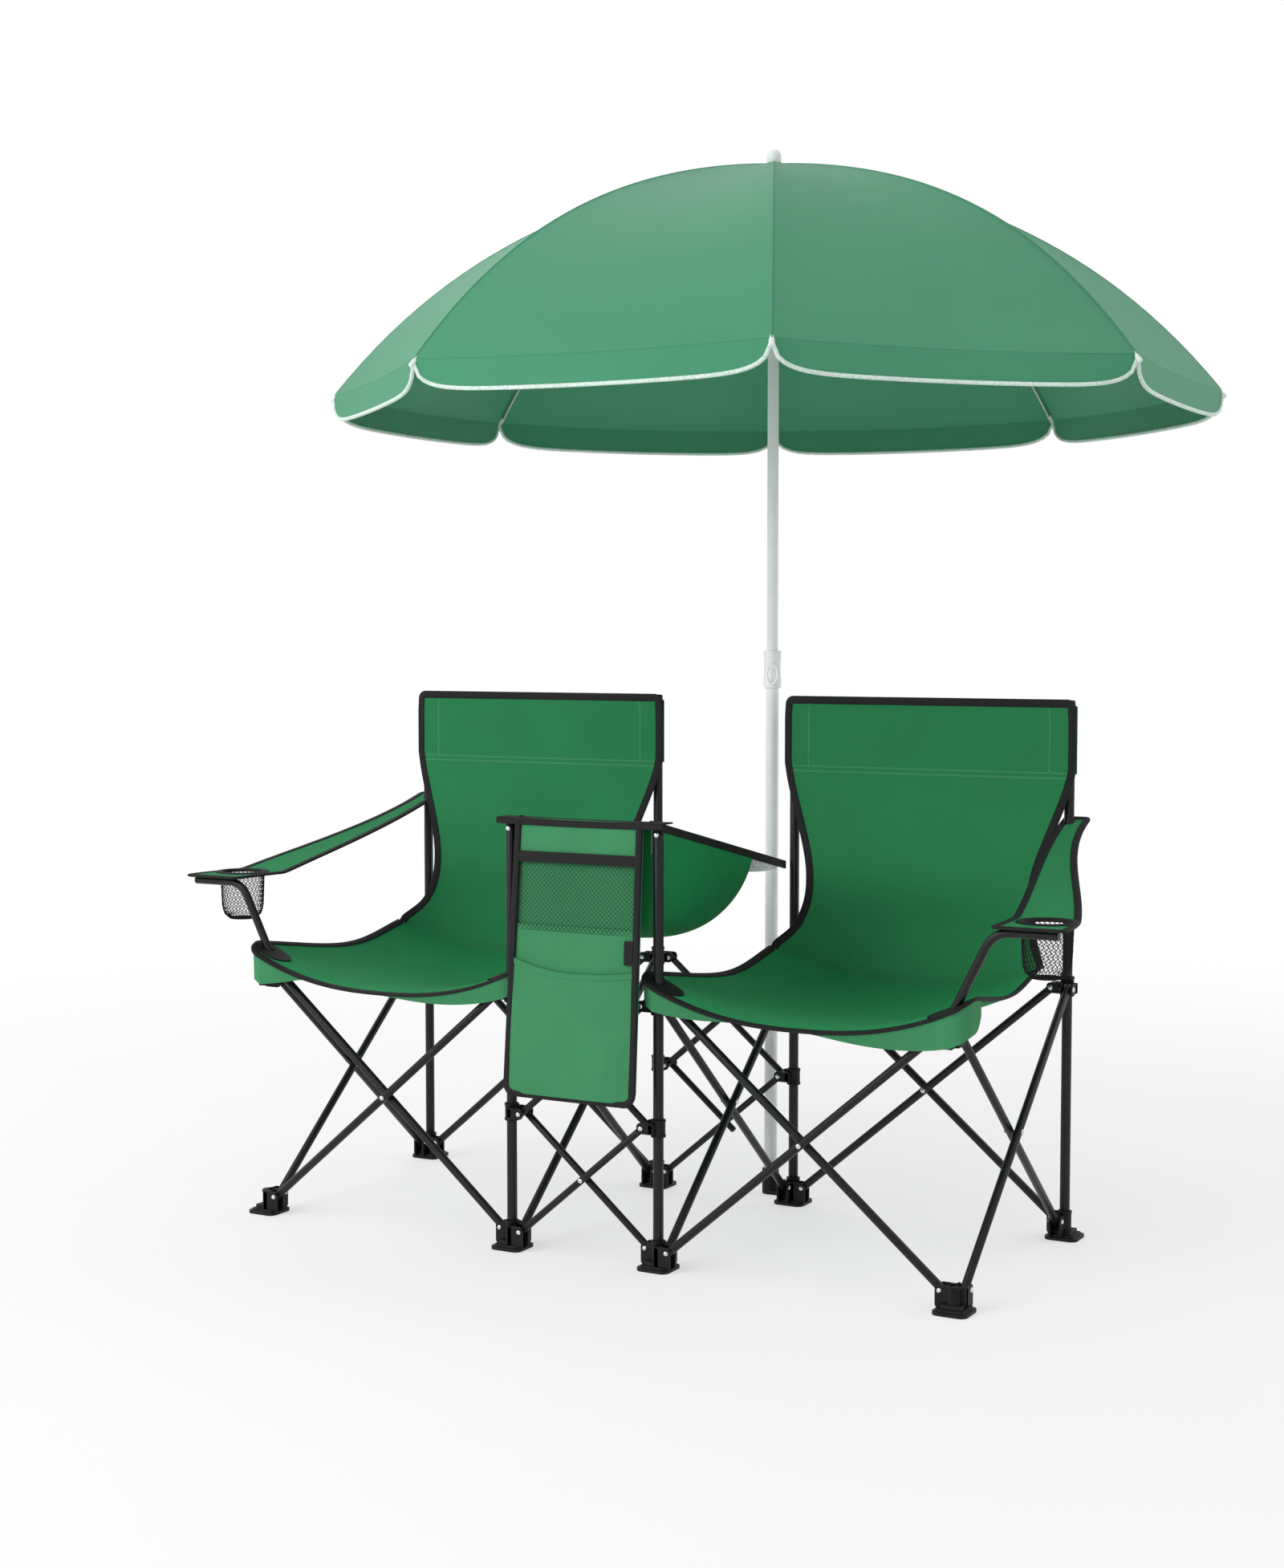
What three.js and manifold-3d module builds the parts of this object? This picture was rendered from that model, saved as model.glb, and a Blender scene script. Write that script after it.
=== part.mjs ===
// Folding camping loveseat: two quad-fold chairs joined by a console, with an umbrella.
// Millimetres, +Z up. +X runs along the seat and the sitters look towards -Y.
import * as THREE from 'three';
import { mergeVertices } from 'three/addons/utils/BufferGeometryUtils.js';
import Module from 'manifold-3d';

const wasm = await Module();
wasm.setup();

// Spacing of the posts and height of the pivots
const CHAIR_SPAN = 480;
const PIVOT_REACH = 22;
const FOOT_PIVOT_Z = 30;
const HUB_PIVOT_Z = 404;
const REAR_POST_TOP = 861;
const CONSOLE_POST_TOP = 679;

// Tubes, pins and running clearances
const POST_RADIUS = 8;
const BRACE_RADIUS = 6.5;
const CONSOLE_BRACE_RADIUS = 5.5;
const BRACE_TIP = 8;
const PIN_RADIUS = 2.5;
const PIN_HEAD_RADIUS = 4.5;
const PIN_HEAD_HEIGHT = 2;
const PIN_CLEARANCE = 0.6;
const SIDE_PLAY = 0.5;
const POST_CLEARANCE = 0.4;
const SEAT_GAP = 0.3;
const SHORT_BRACE_STUB = 20;

// Moulded feet, hubs and collars
const EAR_THICKNESS = 3.5;
const EAR_TIP = 7;
const EAR_HALF_HEIGHT = 8.5;
const BRIDGE_REACH = 10.5;
const SLEEVE_WALL = 2.4;
const FOOT_SIZE = 54;
const FOOT_CORNER = 12;
const FOOT_BASE = 8;
const HUB_SLEEVE_RISE = 18;
const HUB_SLEEVE_DROP = 14;
const ARM_BRIDGE_DROP = 24;
const ARM_BRIDGE_CLEARANCE = 9;

// Bent arm tubes
const ARM_BEND_RISE = 12;
const ARM_LEAN = 0.5;
const ARM_FRONT_Z = 550;
const ARM_HEM_LENGTH = 96;
const ARM_BEND_RADIUS = 26;

// Slung seats and backs
const CLOTH = 3;
const SEAT_FRONT_OVERHANG = 25;
const SEAT_FRONT_Z = 393;
const SEAT_FRONT_BOWL = 57;
const SEAT_EDGE_OVERLAP = 28;
const SEAT_MIDDLE_Z = 376;
const SEAT_MIDDLE_BOWL = 55;
const SEAT_MIDDLE_HALF = 243;
const CREASE_SETBACK = 50;
const CREASE_Z = 395;
const CREASE_BOWL = 80;
const CREASE_HALF = 235;
const WAIST_Z = 578;
const WAIST_SETBACK = 28;
const WAIST_HALF = 200;
const WAIST_BOWL = 10;
const LUMBAR_Z = 480;
const LUMBAR_SETBACK = 27;
const LUMBAR_HALF = 207;
const LUMBAR_BOWL = 35;
const SLEEVE_BOTTOM_Z = 742;
const BOWL_POWER = 2.4;
const GROMMET_CLEARANCE = 0.6;

// Armrests with cup holders
const ARM_REAR_Z = 674;
const ARM_REAR_HALF = 21;
const ARM_FRONT_OVERHANG = 16;
const ARM_SAG = 4;
const CUP_SETBACK = 70;
const CUP_RADIUS = 40;
const CUP_BASE_RADIUS = 34;
const CUP_DEPTH = 78;
const CUP_WALL = 2.5;

// Console bag, top strap and hanging organiser
const BAG_SIDE_GAP = 14;
const BAG_END_GAP = 12;
const BAG_REAR_Z = 585;
const POUCH_DEPTH = 168;
const POUCH_SHARE = 0.74;
const POUCH_POWER = 2.4;
const RIM_STRAP = 18;
const STRAP_HALF_DEPTH = 17;
const STRAP_END = 16;
const ORGANISER_SIDE_GAP = 16;
const ORGANISER_BOTTOM_Z = 254;
const ORGANISER_TOP_REACH = 13;
const ORGANISER_BOTTOM_REACH = 46;
const NET_TOP_DROP = 52;
const NET_HEIGHT = 96;
const NET_MARGIN = 9;
const NET_COLUMNS = 14;
const NET_ROWS = 6;
const NET_CORD = 2.6;

// Umbrella
const POLE_INWARD = 64;
const POLE_BEHIND = 44;
const LOWER_POLE_RADIUS = 11;
const UPPER_POLE_RADIUS = 9.5;
const LOWER_POLE_TOP = 937;
const LOCK_COLLAR_RADIUS = 15;
const LOCK_COLLAR_HEIGHT = 63;
const TELESCOPE_TRAVEL = 350;
const TELESCOPE_OVERLAP = 130;
const SOCKET_RADIUS = 14.5;
const SOCKET_HEIGHT = 44;
const SOCKET_FLOOR = 6;
const CANOPY_RADIUS = 750;
const CANOPY_APEX_Z = 1755;
const CANOPY_DROP = 382;
const CANOPY_HOLE = 14;
const VALANCE = 45;
const RIB_COUNT = 8;
const RIB_TURN = THREE.MathUtils.degToRad(25.6);
const RIB_SIZE = 5;
const RIB_DROP = 11;
const RIB_TIP_INSET = 14;
const CROWN_RADIUS = 20;
const CROWN_HEIGHT = 16;
const CROWN_DROP = 5;
const FINIAL_RADIUS = 12;
const FINIAL_TOP = 1779;
const RUNNER_RADIUS = 17;
const RUNNER_BOTTOM = 1325;
const RUNNER_HEIGHT = 34;
const STRETCHER_REACH = 330;
const STRETCHER_RADIUS = 2.5;

// Facets
const TUBE_SIDES = 8;
const PIN_SIDES = 6;
const ROUND_SIDES = 12;
const CLOTH_ACROSS = 8;
const CLOTH_ALONG = 7;
const POUCH_STEPS = 8;
const CANOPY_RINGS = 8;

// Sizes that follow
const PIVOT_RISE = HUB_PIVOT_Z - FOOT_PIVOT_Z;
const CONSOLE_SPAN = CHAIR_SPAN / 2 + PIVOT_REACH;
const COLLAR_PIVOT_Z = (FOOT_PIVOT_Z + HUB_PIVOT_Z) / 2;
const LANE = BRACE_RADIUS + SIDE_PLAY;
const SLEEVE_RADIUS = POST_RADIUS + POST_CLEARANCE + SLEEVE_WALL;
const COLUMN_X = {
  left_outer: -CONSOLE_SPAN / 2 - CHAIR_SPAN,
  left_inner: -CONSOLE_SPAN / 2,
  right_inner: CONSOLE_SPAN / 2,
  right_outer: CONSOLE_SPAN / 2 + CHAIR_SPAN,
};
const ROW_Y = { front: -CHAIR_SPAN / 2, rear: CHAIR_SPAN / 2 };
const POLE = new THREE.Vector2(COLUMN_X.right_inner - POLE_INWARD, ROW_Y.rear + POLE_BEHIND);

// Materials
const finish = (color, roughness, metalness) => new THREE.MeshStandardMaterial({ color, roughness, metalness });
const BLACK_STEEL = finish(0x16171a, 0.45, 0.6);
const BLACK_PLASTIC = finish(0x101113, 0.55, 0);
const GREEN_CLOTH = finish(0x2a7446, 0.85, 0);
const CANOPY_CLOTH = finish(0x4f8f6c, 0.8, 0);
const POLE_STEEL = finish(0xc9ccd0, 0.35, 0.7);

const loveseat = new THREE.Group();

/** Puts a solid into the model as one named piece. */
function place(name, solid, material) {
  const { vertProperties, triVerts } = solid.getMesh();
  const geometry = new THREE.BufferGeometry();
  geometry.setAttribute('position', new THREE.BufferAttribute(vertProperties, 3));
  geometry.setIndex(new THREE.BufferAttribute(triVerts, 1));
  geometry.computeVertexNormals();
  const mesh = new THREE.Mesh(geometry, material);
  mesh.name = name;
  loveseat.add(mesh);
}

/** Turns a closed geometry into a solid that can be joined and cut. */
function solidOf(geometry) {
  const bare = geometry.clone();
  bare.deleteAttribute('normal');
  bare.deleteAttribute('uv');
  const merged = mergeVertices(bare);
  const vertProperties = new Float32Array(merged.attributes.position.array);
  const triVerts = new Uint32Array(merged.index.array);
  return new wasm.Manifold(new wasm.Mesh({ numProp: 3, vertProperties, triVerts }));
}

const joined = (solids) => solids.reduce((whole, piece) => whole.add(piece));

/** A block between two opposite corners. */
function block(low, high) {
  const size = new THREE.Vector3().subVectors(high, low);
  const middle = new THREE.Vector3().addVectors(low, high).multiplyScalar(0.5);
  return solidOf(new THREE.BoxGeometry(size.x, size.y, size.z).translate(middle.x, middle.y, middle.z));
}

/** A straight round bar from one point to another. */
function rod(from, to, radius, sides) {
  const along = new THREE.Vector3().subVectors(to, from);
  const geometry = new THREE.CylinderGeometry(radius, radius, along.length(), sides);
  const turn = new THREE.Quaternion().setFromUnitVectors(new THREE.Vector3(0, 1, 0), along.clone().normalize());
  const middle = new THREE.Vector3().addVectors(from, to).multiplyScalar(0.5);
  return solidOf(geometry.applyQuaternion(turn).translate(middle.x, middle.y, middle.z));
}

/** An upright round bar at a place on the floor plan. */
function upright(x, y, zLow, zHigh, radius, sides = ROUND_SIDES) {
  return rod(new THREE.Vector3(x, y, zLow), new THREE.Vector3(x, y, zHigh), radius, sides);
}

/** A path that runs straight from each given point to the next. */
class PointPath extends THREE.Curve {
  constructor(points) {
    super();
    this.points = points;
  }

  getPoint(t) {
    const place = t * (this.points.length - 1);
    const i = Math.min(Math.floor(place), this.points.length - 2);
    return this.points[i].clone().lerp(this.points[i + 1], place - i);
  }

  getSpacedPoints() {
    return this.points.map((point) => point.clone());
  }

  getTangentAt(u) {
    const last = this.points.length - 1;
    const i = Math.round(u * last);
    const before = this.points[Math.max(i - 1, 0)];
    const after = this.points[Math.min(i + 1, last)];
    return new THREE.Vector3().subVectors(after, before).normalize();
  }
}

/** A round bar that is bent through given points. */
function bentRod(points, radius, sides) {
  const section = new THREE.Shape();
  for (let i = 0; i < sides; i++) {
    const angle = (2 * Math.PI * i) / sides;
    const point = [radius * Math.cos(angle), radius * Math.sin(angle)];
    if (i === 0) section.moveTo(...point);
    else section.lineTo(...point);
  }
  section.closePath();
  const extrudePath = new PointPath(points);
  const options = { steps: points.length - 1, curveSegments: 1, bevelEnabled: false, extrudePath };
  return solidOf(new THREE.ExtrudeGeometry(section, options));
}

/** A flat outline in the YZ plane, drawn out along X between two places. */
function slab(points, xLow, xHigh) {
  const outline = new THREE.Shape(points.map(([y, z]) => new THREE.Vector2(y, z)));
  const geometry = new THREE.ExtrudeGeometry(outline, { depth: xHigh - xLow, bevelEnabled: false });
  const basis = new THREE.Matrix4().makeBasis(
    new THREE.Vector3(0, 1, 0),
    new THREE.Vector3(0, 0, 1),
    new THREE.Vector3(1, 0, 0),
  );
  return solidOf(geometry.applyMatrix4(basis).translate(xLow, 0, 0));
}

// Brace directions seen from above, each with the side that its tubes lie on
const DIRECTIONS = { right: [1, 0], left: [-1, 0], back: [0, 1], front: [0, -1] };

/** A point given by a corner, a distance out along a direction, one across it, and a height. */
function outFrom(corner, direction, out, across, z) {
  const [dx, dy] = DIRECTIONS[direction];
  return new THREE.Vector3(corner.x + dx * out - dy * across, corner.y + dy * out + dx * across, z);
}

/** A block given in a corner's own out and across distances. */
function blockFrom(corner, direction, outRange, acrossRange, zRange) {
  const a = outFrom(corner, direction, outRange[0], acrossRange[0], zRange[0]);
  const b = outFrom(corner, direction, outRange[1], acrossRange[1], zRange[1]);
  return block(a.clone().min(b), a.clone().max(b));
}

const cornerOf = (column, row) => ({ x: COLUMN_X[column], y: ROW_Y[row] });

/**
 * The two ears and the pin that carry tubes on one side of a corner. A foot's tube lies to the
 * right of its direction, a hub's to the left, and a collar holds one of each on one pin.
 */
function clevis(corner, direction, pivotZ, lanes, zLow, bridgeTop) {
  const low = Math.min(0, ...lanes) * 2 * LANE;
  const high = Math.max(0, ...lanes) * 2 * LANE;
  const zRange = [zLow, pivotZ + EAR_HALF_HEIGHT];
  const earEnd = PIVOT_REACH + EAR_TIP;
  const span = [low - EAR_THICKNESS, high + EAR_THICKNESS];
  const pinFrom = outFrom(corner, direction, PIVOT_REACH, span[0], pivotZ);
  const pinTo = outFrom(corner, direction, PIVOT_REACH, span[1], pivotZ);
  return joined([
    blockFrom(corner, direction, [0, earEnd], [span[0], low], zRange),
    blockFrom(corner, direction, [0, earEnd], [high, span[1]], zRange),
    blockFrom(corner, direction, [0, BRIDGE_REACH], span, [zLow, bridgeTop]),
    rod(pinFrom, pinTo, PIN_RADIUS, PIN_SIDES),
  ]);
}

/** The square base plate of a foot, with rounded corners. */
function footBase(corner) {
  const half = FOOT_SIZE / 2;
  const outline = new THREE.Shape();
  outline.moveTo(half, -half + FOOT_CORNER);
  outline.lineTo(half, half - FOOT_CORNER);
  outline.lineTo(half - FOOT_CORNER, half);
  outline.lineTo(-half + FOOT_CORNER, half);
  outline.lineTo(-half, half - FOOT_CORNER);
  outline.lineTo(-half, -half + FOOT_CORNER);
  outline.lineTo(-half + FOOT_CORNER, -half);
  outline.lineTo(half - FOOT_CORNER, -half);
  outline.closePath();
  const geometry = new THREE.ExtrudeGeometry(outline, { depth: FOOT_BASE, bevelEnabled: false });
  return solidOf(geometry.translate(corner.x, corner.y, 0));
}

/** The umbrella's socket beside the right inner rear foot. */
function poleSocket() {
  const half = FOOT_SIZE / 2;
  const corner = cornerOf('right_inner', 'rear');
  const bore = upright(
    POLE.x, POLE.y, SOCKET_FLOOR, SOCKET_HEIGHT + 1, LOWER_POLE_RADIUS + POST_CLEARANCE,
  );
  const web = joined([
    upright(POLE.x, POLE.y, 0, SOCKET_HEIGHT, SOCKET_RADIUS),
    block(
      new THREE.Vector3(POLE.x, corner.y + half + POST_CLEARANCE * 6, 0),
      new THREE.Vector3(corner.x - FOOT_CORNER, POLE.y + BRIDGE_REACH, FOOT_BASE),
    ),
    block(
      new THREE.Vector3(corner.x - half, corner.y + FOOT_CORNER, 0),
      new THREE.Vector3(corner.x - FOOT_CORNER, POLE.y + BRIDGE_REACH, FOOT_BASE),
    ),
  ]);
  return { web, bore };
}

/** A foot with a clevis for each brace that stands in it. */
function foot(column, row, directions, hasPost) {
  const corner = cornerOf(column, row);
  const top = FOOT_PIVOT_Z + EAR_HALF_HEIGHT;
  const pieces = directions.map((d) => clevis(corner, d, FOOT_PIVOT_Z, [-1], FOOT_BASE / 2, top));
  pieces.push(footBase(corner), upright(corner.x, corner.y, 0, top, SLEEVE_RADIUS));
  let whole = joined(pieces);
  if (hasPost) {
    whole = whole.subtract(
      upright(corner.x, corner.y, FOOT_BASE, top + 1, POST_RADIUS + POST_CLEARANCE),
    );
  }
  if (column === 'right_inner' && row === 'rear') {
    const { web, bore } = poleSocket();
    whole = whole.add(web).subtract(bore);
  }
  place(`${column}_${row}_foot`, whole, BLACK_PLASTIC);
}

/** A hub that slides on its post and takes the upper ends of the braces. */
function slidingHub(column, row, directions) {
  const corner = cornerOf(column, row);
  const low = HUB_PIVOT_Z - HUB_SLEEVE_DROP;
  const high = HUB_PIVOT_Z + HUB_SLEEVE_RISE;
  const top = HUB_PIVOT_Z + EAR_HALF_HEIGHT;
  const pieces = directions.map((d) => clevis(corner, d, HUB_PIVOT_Z, [1], HUB_PIVOT_Z - EAR_HALF_HEIGHT, top));
  pieces.push(upright(corner.x, corner.y, low, high, SLEEVE_RADIUS));
  const bore = upright(corner.x, corner.y, low - 1, high + 1, POST_RADIUS + POST_CLEARANCE);
  place(`${column}_${row}_hub`, joined(pieces).subtract(bore), BLACK_PLASTIC);
}

/** A hub at an outer front corner, which joins an arm tube and a side brace and has no post. */
function armHub(column, inward) {
  const corner = cornerOf(column, 'front');
  const low = HUB_PIVOT_Z - ARM_BRIDGE_DROP;
  const top = HUB_PIVOT_Z + EAR_HALF_HEIGHT;
  const bridgeTop = HUB_PIVOT_Z - ARM_BRIDGE_CLEARANCE;
  const whole = joined([
    clevis(corner, inward, HUB_PIVOT_Z, [1], low, bridgeTop),
    clevis(corner, 'back', HUB_PIVOT_Z, [1], low, top),
  ]);
  place(`${column}_front_hub`, whole, BLACK_PLASTIC);
}

/** A collar halfway up a console post, where the two stages of the console's braces meet. */
function collar(column, row, direction) {
  const corner = cornerOf(column, row);
  const low = COLLAR_PIVOT_Z - HUB_SLEEVE_DROP;
  const high = COLLAR_PIVOT_Z + HUB_SLEEVE_DROP;
  const top = COLLAR_PIVOT_Z + EAR_HALF_HEIGHT;
  const whole = joined([
    clevis(corner, direction, COLLAR_PIVOT_Z, [-1, 1], COLLAR_PIVOT_Z - EAR_HALF_HEIGHT, top),
    upright(corner.x, corner.y, low, high, SLEEVE_RADIUS),
  ]);
  const bore = upright(corner.x, corner.y, low - 1, high + 1, POST_RADIUS + POST_CLEARANCE);
  place(`${column}_${row}_collar`, whole.subtract(bore), BLACK_PLASTIC);
}

function post(column, row, top) {
  const { x, y } = cornerOf(column, row);
  place(`${column}_${row}_post`, upright(x, y, FOOT_BASE + SEAT_GAP, top, POST_RADIUS), BLACK_STEEL);
}

/** The line of one brace: from a pivot beside one corner to a higher pivot beside another. */
function braceLine(fromCorner, toCorner, direction, lane, zLow, zHigh) {
  const back = { right: 'left', left: 'right', back: 'front', front: 'back' }[direction];
  return {
    direction,
    lane,
    low: outFrom(fromCorner, direction, PIVOT_REACH, lane * LANE, zLow),
    high: outFrom(toCorner, back, PIVOT_REACH, -lane * LANE, zHigh),
  };
}

/** A pin hole across a brace at a point on its line. */
function pinHole(line, point) {
  const across = outFrom({ x: 0, y: 0 }, line.direction, 0, 1, 0);
  const reach = across.clone().multiplyScalar(2 * LANE);
  return rod(
    point.clone().sub(reach), point.clone().add(reach), PIN_RADIUS + PIN_CLEARANCE, PIN_SIDES,
  );
}

/** The rivet where the two braces of a cross meet, fixed in the brace on the right-hand lane. */
function crossRivet(line, radius) {
  const middle = line.low.clone().lerp(line.high, 0.5);
  const at = (across) => middle.clone().add(
    outFrom({ x: 0, y: 0 }, line.direction, 0, across - line.lane * LANE, 0),
  );
  const side = -line.lane;
  const farFace = LANE + radius + SIDE_PLAY;
  return joined([
    rod(at(-side * LANE), at(side * (farFace + PIN_HEAD_HEIGHT)), PIN_RADIUS, PIN_SIDES),
    rod(at(side * farFace), at(side * (farFace + PIN_HEAD_HEIGHT)), PIN_HEAD_RADIUS, TUBE_SIDES),
    rod(at(-side * LANE), at(-side * (farFace - SIDE_PLAY + PIN_HEAD_HEIGHT)), PIN_HEAD_RADIUS, TUBE_SIDES),
  ]);
}

/** A straight brace with its end holes, and either the rivet or the hole where it is crossed. */
function brace(name, line, radius, hasRivet, stub) {
  const along = new THREE.Vector3().subVectors(line.high, line.low).normalize();
  const middle = line.low.clone().lerp(line.high, 0.5);
  const start = stub
    ? middle.clone().addScaledVector(along, -stub)
    : line.low.clone().addScaledVector(along, -BRACE_TIP);
  const end = line.high.clone().addScaledVector(along, BRACE_TIP);
  let whole = rod(start, end, radius, TUBE_SIDES);
  if (hasRivet) whole = whole.add(crossRivet(line, radius));
  else whole = whole.subtract(pinHole(line, middle));
  whole = whole.subtract(pinHole(line, line.high));
  if (!stub) whole = whole.subtract(pinHole(line, line.low));
  place(name, whole, BLACK_STEEL);
}

/** A cross of two braces between two corners, the one on the right-hand lane carrying the rivet. */
function cross(name, nearCorner, farCorner, toward, away, zLow, zHigh, radius, stub = 0) {
  const lines = {
    [toward]: braceLine(nearCorner, farCorner, toward, -1, zLow, zHigh),
    [away]: braceLine(farCorner, nearCorner, away, -1, zLow, zHigh),
  };
  brace(`${name}_rising_${toward}`, lines[toward], radius, true, 0);
  brace(`${name}_rising_${away}`, lines[away], radius, false, stub);
}

/** The bent tube of an arm: a front brace that goes on up past its hub and turns out into the armrest. */
function armTubeCurve(fromColumn, toColumn, direction) {
  const line = braceLine(cornerOf(fromColumn, 'front'), cornerOf(toColumn, 'front'), direction, -1,
    FOOT_PIVOT_Z, HUB_PIVOT_Z);
  const sign = direction === 'right' ? 1 : -1;
  const along = new THREE.Vector3().subVectors(line.high, line.low).normalize();
  const start = line.low.clone().addScaledVector(along, -BRACE_TIP);
  const knee = line.high.clone().addScaledVector(along, ARM_BEND_RISE);
  const rise = ARM_FRONT_Z - knee.z;
  const elbow = new THREE.Vector3(knee.x + sign * rise * ARM_LEAN, knee.y, ARM_FRONT_Z);
  const tip = new THREE.Vector3(elbow.x + sign * ARM_HEM_LENGTH, knee.y, ARM_FRONT_Z);
  const curve = new THREE.CurvePath();
  const nearKnee = knee.clone().lerp(start, ARM_BEND_RISE / 2 / knee.distanceTo(start));
  const pastKnee = knee.clone().lerp(elbow, ARM_BEND_RISE / knee.distanceTo(elbow));
  const nearElbow = elbow.clone().lerp(knee, ARM_BEND_RADIUS / elbow.distanceTo(knee));
  const pastElbow = elbow.clone().lerp(tip, ARM_BEND_RADIUS / elbow.distanceTo(tip));
  curve.add(new THREE.LineCurve3(start, nearKnee));
  curve.add(new THREE.QuadraticBezierCurve3(nearKnee, knee, pastKnee));
  curve.add(new THREE.LineCurve3(pastKnee, nearElbow));
  curve.add(new THREE.QuadraticBezierCurve3(nearElbow, elbow, pastElbow));
  curve.add(new THREE.LineCurve3(pastElbow, tip));
  return { curve, line, elbow, tip };
}

/** Points along a curve path: the ends of its straight stretches and a few on each bend. */
function pathPoints(curve, bendSteps) {
  const points = [];
  for (const stretch of curve.curves) {
    const steps = stretch.isLineCurve3 ? 1 : bendSteps;
    for (let i = 0; i < steps; i++) points.push(stretch.getPoint(i / steps));
  }
  points.push(curve.curves.at(-1).getPoint(1));
  return points;
}

/** The solid of a closed geometry, with its faces turned round if they point in. */
function outward(solid, geometry) {
  if (solid.volume() > 0) return solid;
  const flipped = geometry.clone();
  const index = flipped.index.array;
  for (let i = 0; i < index.length; i += 3) [index[i], index[i + 1]] = [index[i + 1], index[i]];
  return solidOf(flipped);
}

function armTube(name, fromColumn, toColumn, direction, hasRivet) {
  const { curve, line } = armTubeCurve(fromColumn, toColumn, direction);
  const middle = line.low.clone().lerp(line.high, 0.5);
  let whole = bentRod(pathPoints(curve, 3), BRACE_RADIUS, TUBE_SIDES);
  if (hasRivet) whole = whole.add(crossRivet(line, BRACE_RADIUS));
  else whole = whole.subtract(pinHole(line, middle));
  for (const end of [line.low, line.high]) whole = whole.subtract(pinHole(line, end));
  place(name, whole, BLACK_STEEL);
}

/** A closed sheet of even thickness over a grid of points, where at(u, v) gives its middle surface. */
function sheet(at, across, along, thickness) {
  const step = 1e-3;
  const positions = [];
  const index = [];
  const side = (across + 1) * (along + 1);
  for (const half of [0.5, -0.5]) {
    for (let j = 0; j <= along; j++) {
      for (let i = 0; i <= across; i++) {
        const [u, v] = [(2 * i) / across - 1, j / along];
        const [u0, u1] = [Math.max(u - step, -1), Math.min(u + step, 1)];
        const [v0, v1] = [Math.max(v - step, 0), Math.min(v + step, 1)];
        const du = at(u1, v).sub(at(u0, v));
        const dv = at(u, v1).sub(at(u, v0));
        const normal = du.cross(dv).normalize().multiplyScalar(half * thickness);
        positions.push(...at(u, v).add(normal).toArray());
      }
    }
  }
  const vertex = (layer, i, j) => layer * side + j * (across + 1) + i;
  const quad = (a, b, c, d) => index.push(a, b, c, a, c, d);
  for (let j = 0; j < along; j++) {
    for (let i = 0; i < across; i++) {
      quad(vertex(0, i, j), vertex(0, i + 1, j), vertex(0, i + 1, j + 1), vertex(0, i, j + 1));
      quad(vertex(1, i, j), vertex(1, i, j + 1), vertex(1, i + 1, j + 1), vertex(1, i + 1, j));
    }
  }
  for (let i = 0; i < across; i++) {
    quad(vertex(0, i, 0), vertex(1, i, 0), vertex(1, i + 1, 0), vertex(0, i + 1, 0));
    quad(vertex(0, i + 1, along), vertex(1, i + 1, along), vertex(1, i, along), vertex(0, i, along));
  }
  for (let j = 0; j < along; j++) {
    quad(vertex(0, 0, j + 1), vertex(1, 0, j + 1), vertex(1, 0, j), vertex(0, 0, j));
    quad(vertex(0, across, j), vertex(1, across, j), vertex(1, across, j + 1), vertex(0, across, j + 1));
  }
  const geometry = new THREE.BufferGeometry();
  geometry.setAttribute('position', new THREE.Float32BufferAttribute(positions, 3));
  geometry.setIndex(index);
  return outward(solidOf(geometry), geometry);
}

const smooth = (t) => t * t * (3 - 2 * t);

/** The stations of a sling from its front hem to its top: place, half width and depth of bowl. */
function slingStations() {
  const backFace = ROW_Y.rear - POST_RADIUS - POST_CLEARANCE - CLOTH / 2;
  const frontHalf = CHAIR_SPAN / 2 + SEAT_EDGE_OVERLAP;
  const sleeveHalf = CHAIR_SPAN / 2 + POST_RADIUS + CLOTH;
  return {
    seat: [
      { y: ROW_Y.front - SEAT_FRONT_OVERHANG, z: SEAT_FRONT_Z, half: frontHalf, bowl: SEAT_FRONT_BOWL },
      { y: 0, z: SEAT_MIDDLE_Z, half: SEAT_MIDDLE_HALF, bowl: SEAT_MIDDLE_BOWL },
      { y: ROW_Y.rear - CREASE_SETBACK, z: CREASE_Z, half: CREASE_HALF, bowl: CREASE_BOWL },
    ],
    back: [
      { y: ROW_Y.rear - CREASE_SETBACK, z: CREASE_Z + CLOTH, half: CREASE_HALF, bowl: CREASE_BOWL },
      { y: ROW_Y.rear - LUMBAR_SETBACK, z: LUMBAR_Z, half: LUMBAR_HALF, bowl: LUMBAR_BOWL },
      { y: ROW_Y.rear - WAIST_SETBACK, z: WAIST_Z, half: WAIST_HALF, bowl: WAIST_BOWL },
      { y: backFace, z: SLEEVE_BOTTOM_Z, half: sleeveHalf, bowl: 0 },
      { y: backFace, z: REAR_POST_TOP, half: sleeveHalf, bowl: 0 },
    ],
  };
}

/** The middle surface of a sling through its stations, bowed towards the sitter at its edges. */
function slingSurface(stations, middleX, lift) {
  const spans = stations.length - 1;
  return (u, v) => {
    const i = Math.min(Math.floor(v * spans), spans - 1);
    const t = smooth(v * spans - i);
    const [a, b] = [stations[i], stations[i + 1]];
    const mix = (key) => a[key] + (b[key] - a[key]) * t;
    const straight = v * spans - i;
    const y = a.y + (b.y - a.y) * straight;
    const z = a.z + (b.z - a.z) * straight;
    const bow = mix('bowl') * Math.abs(u) ** BOWL_POWER;
    const [ly, lz] = lift(v);
    return new THREE.Vector3(middleX + u * mix('half'), y + bow * ly, z + bow * lz);
  };
}

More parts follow.
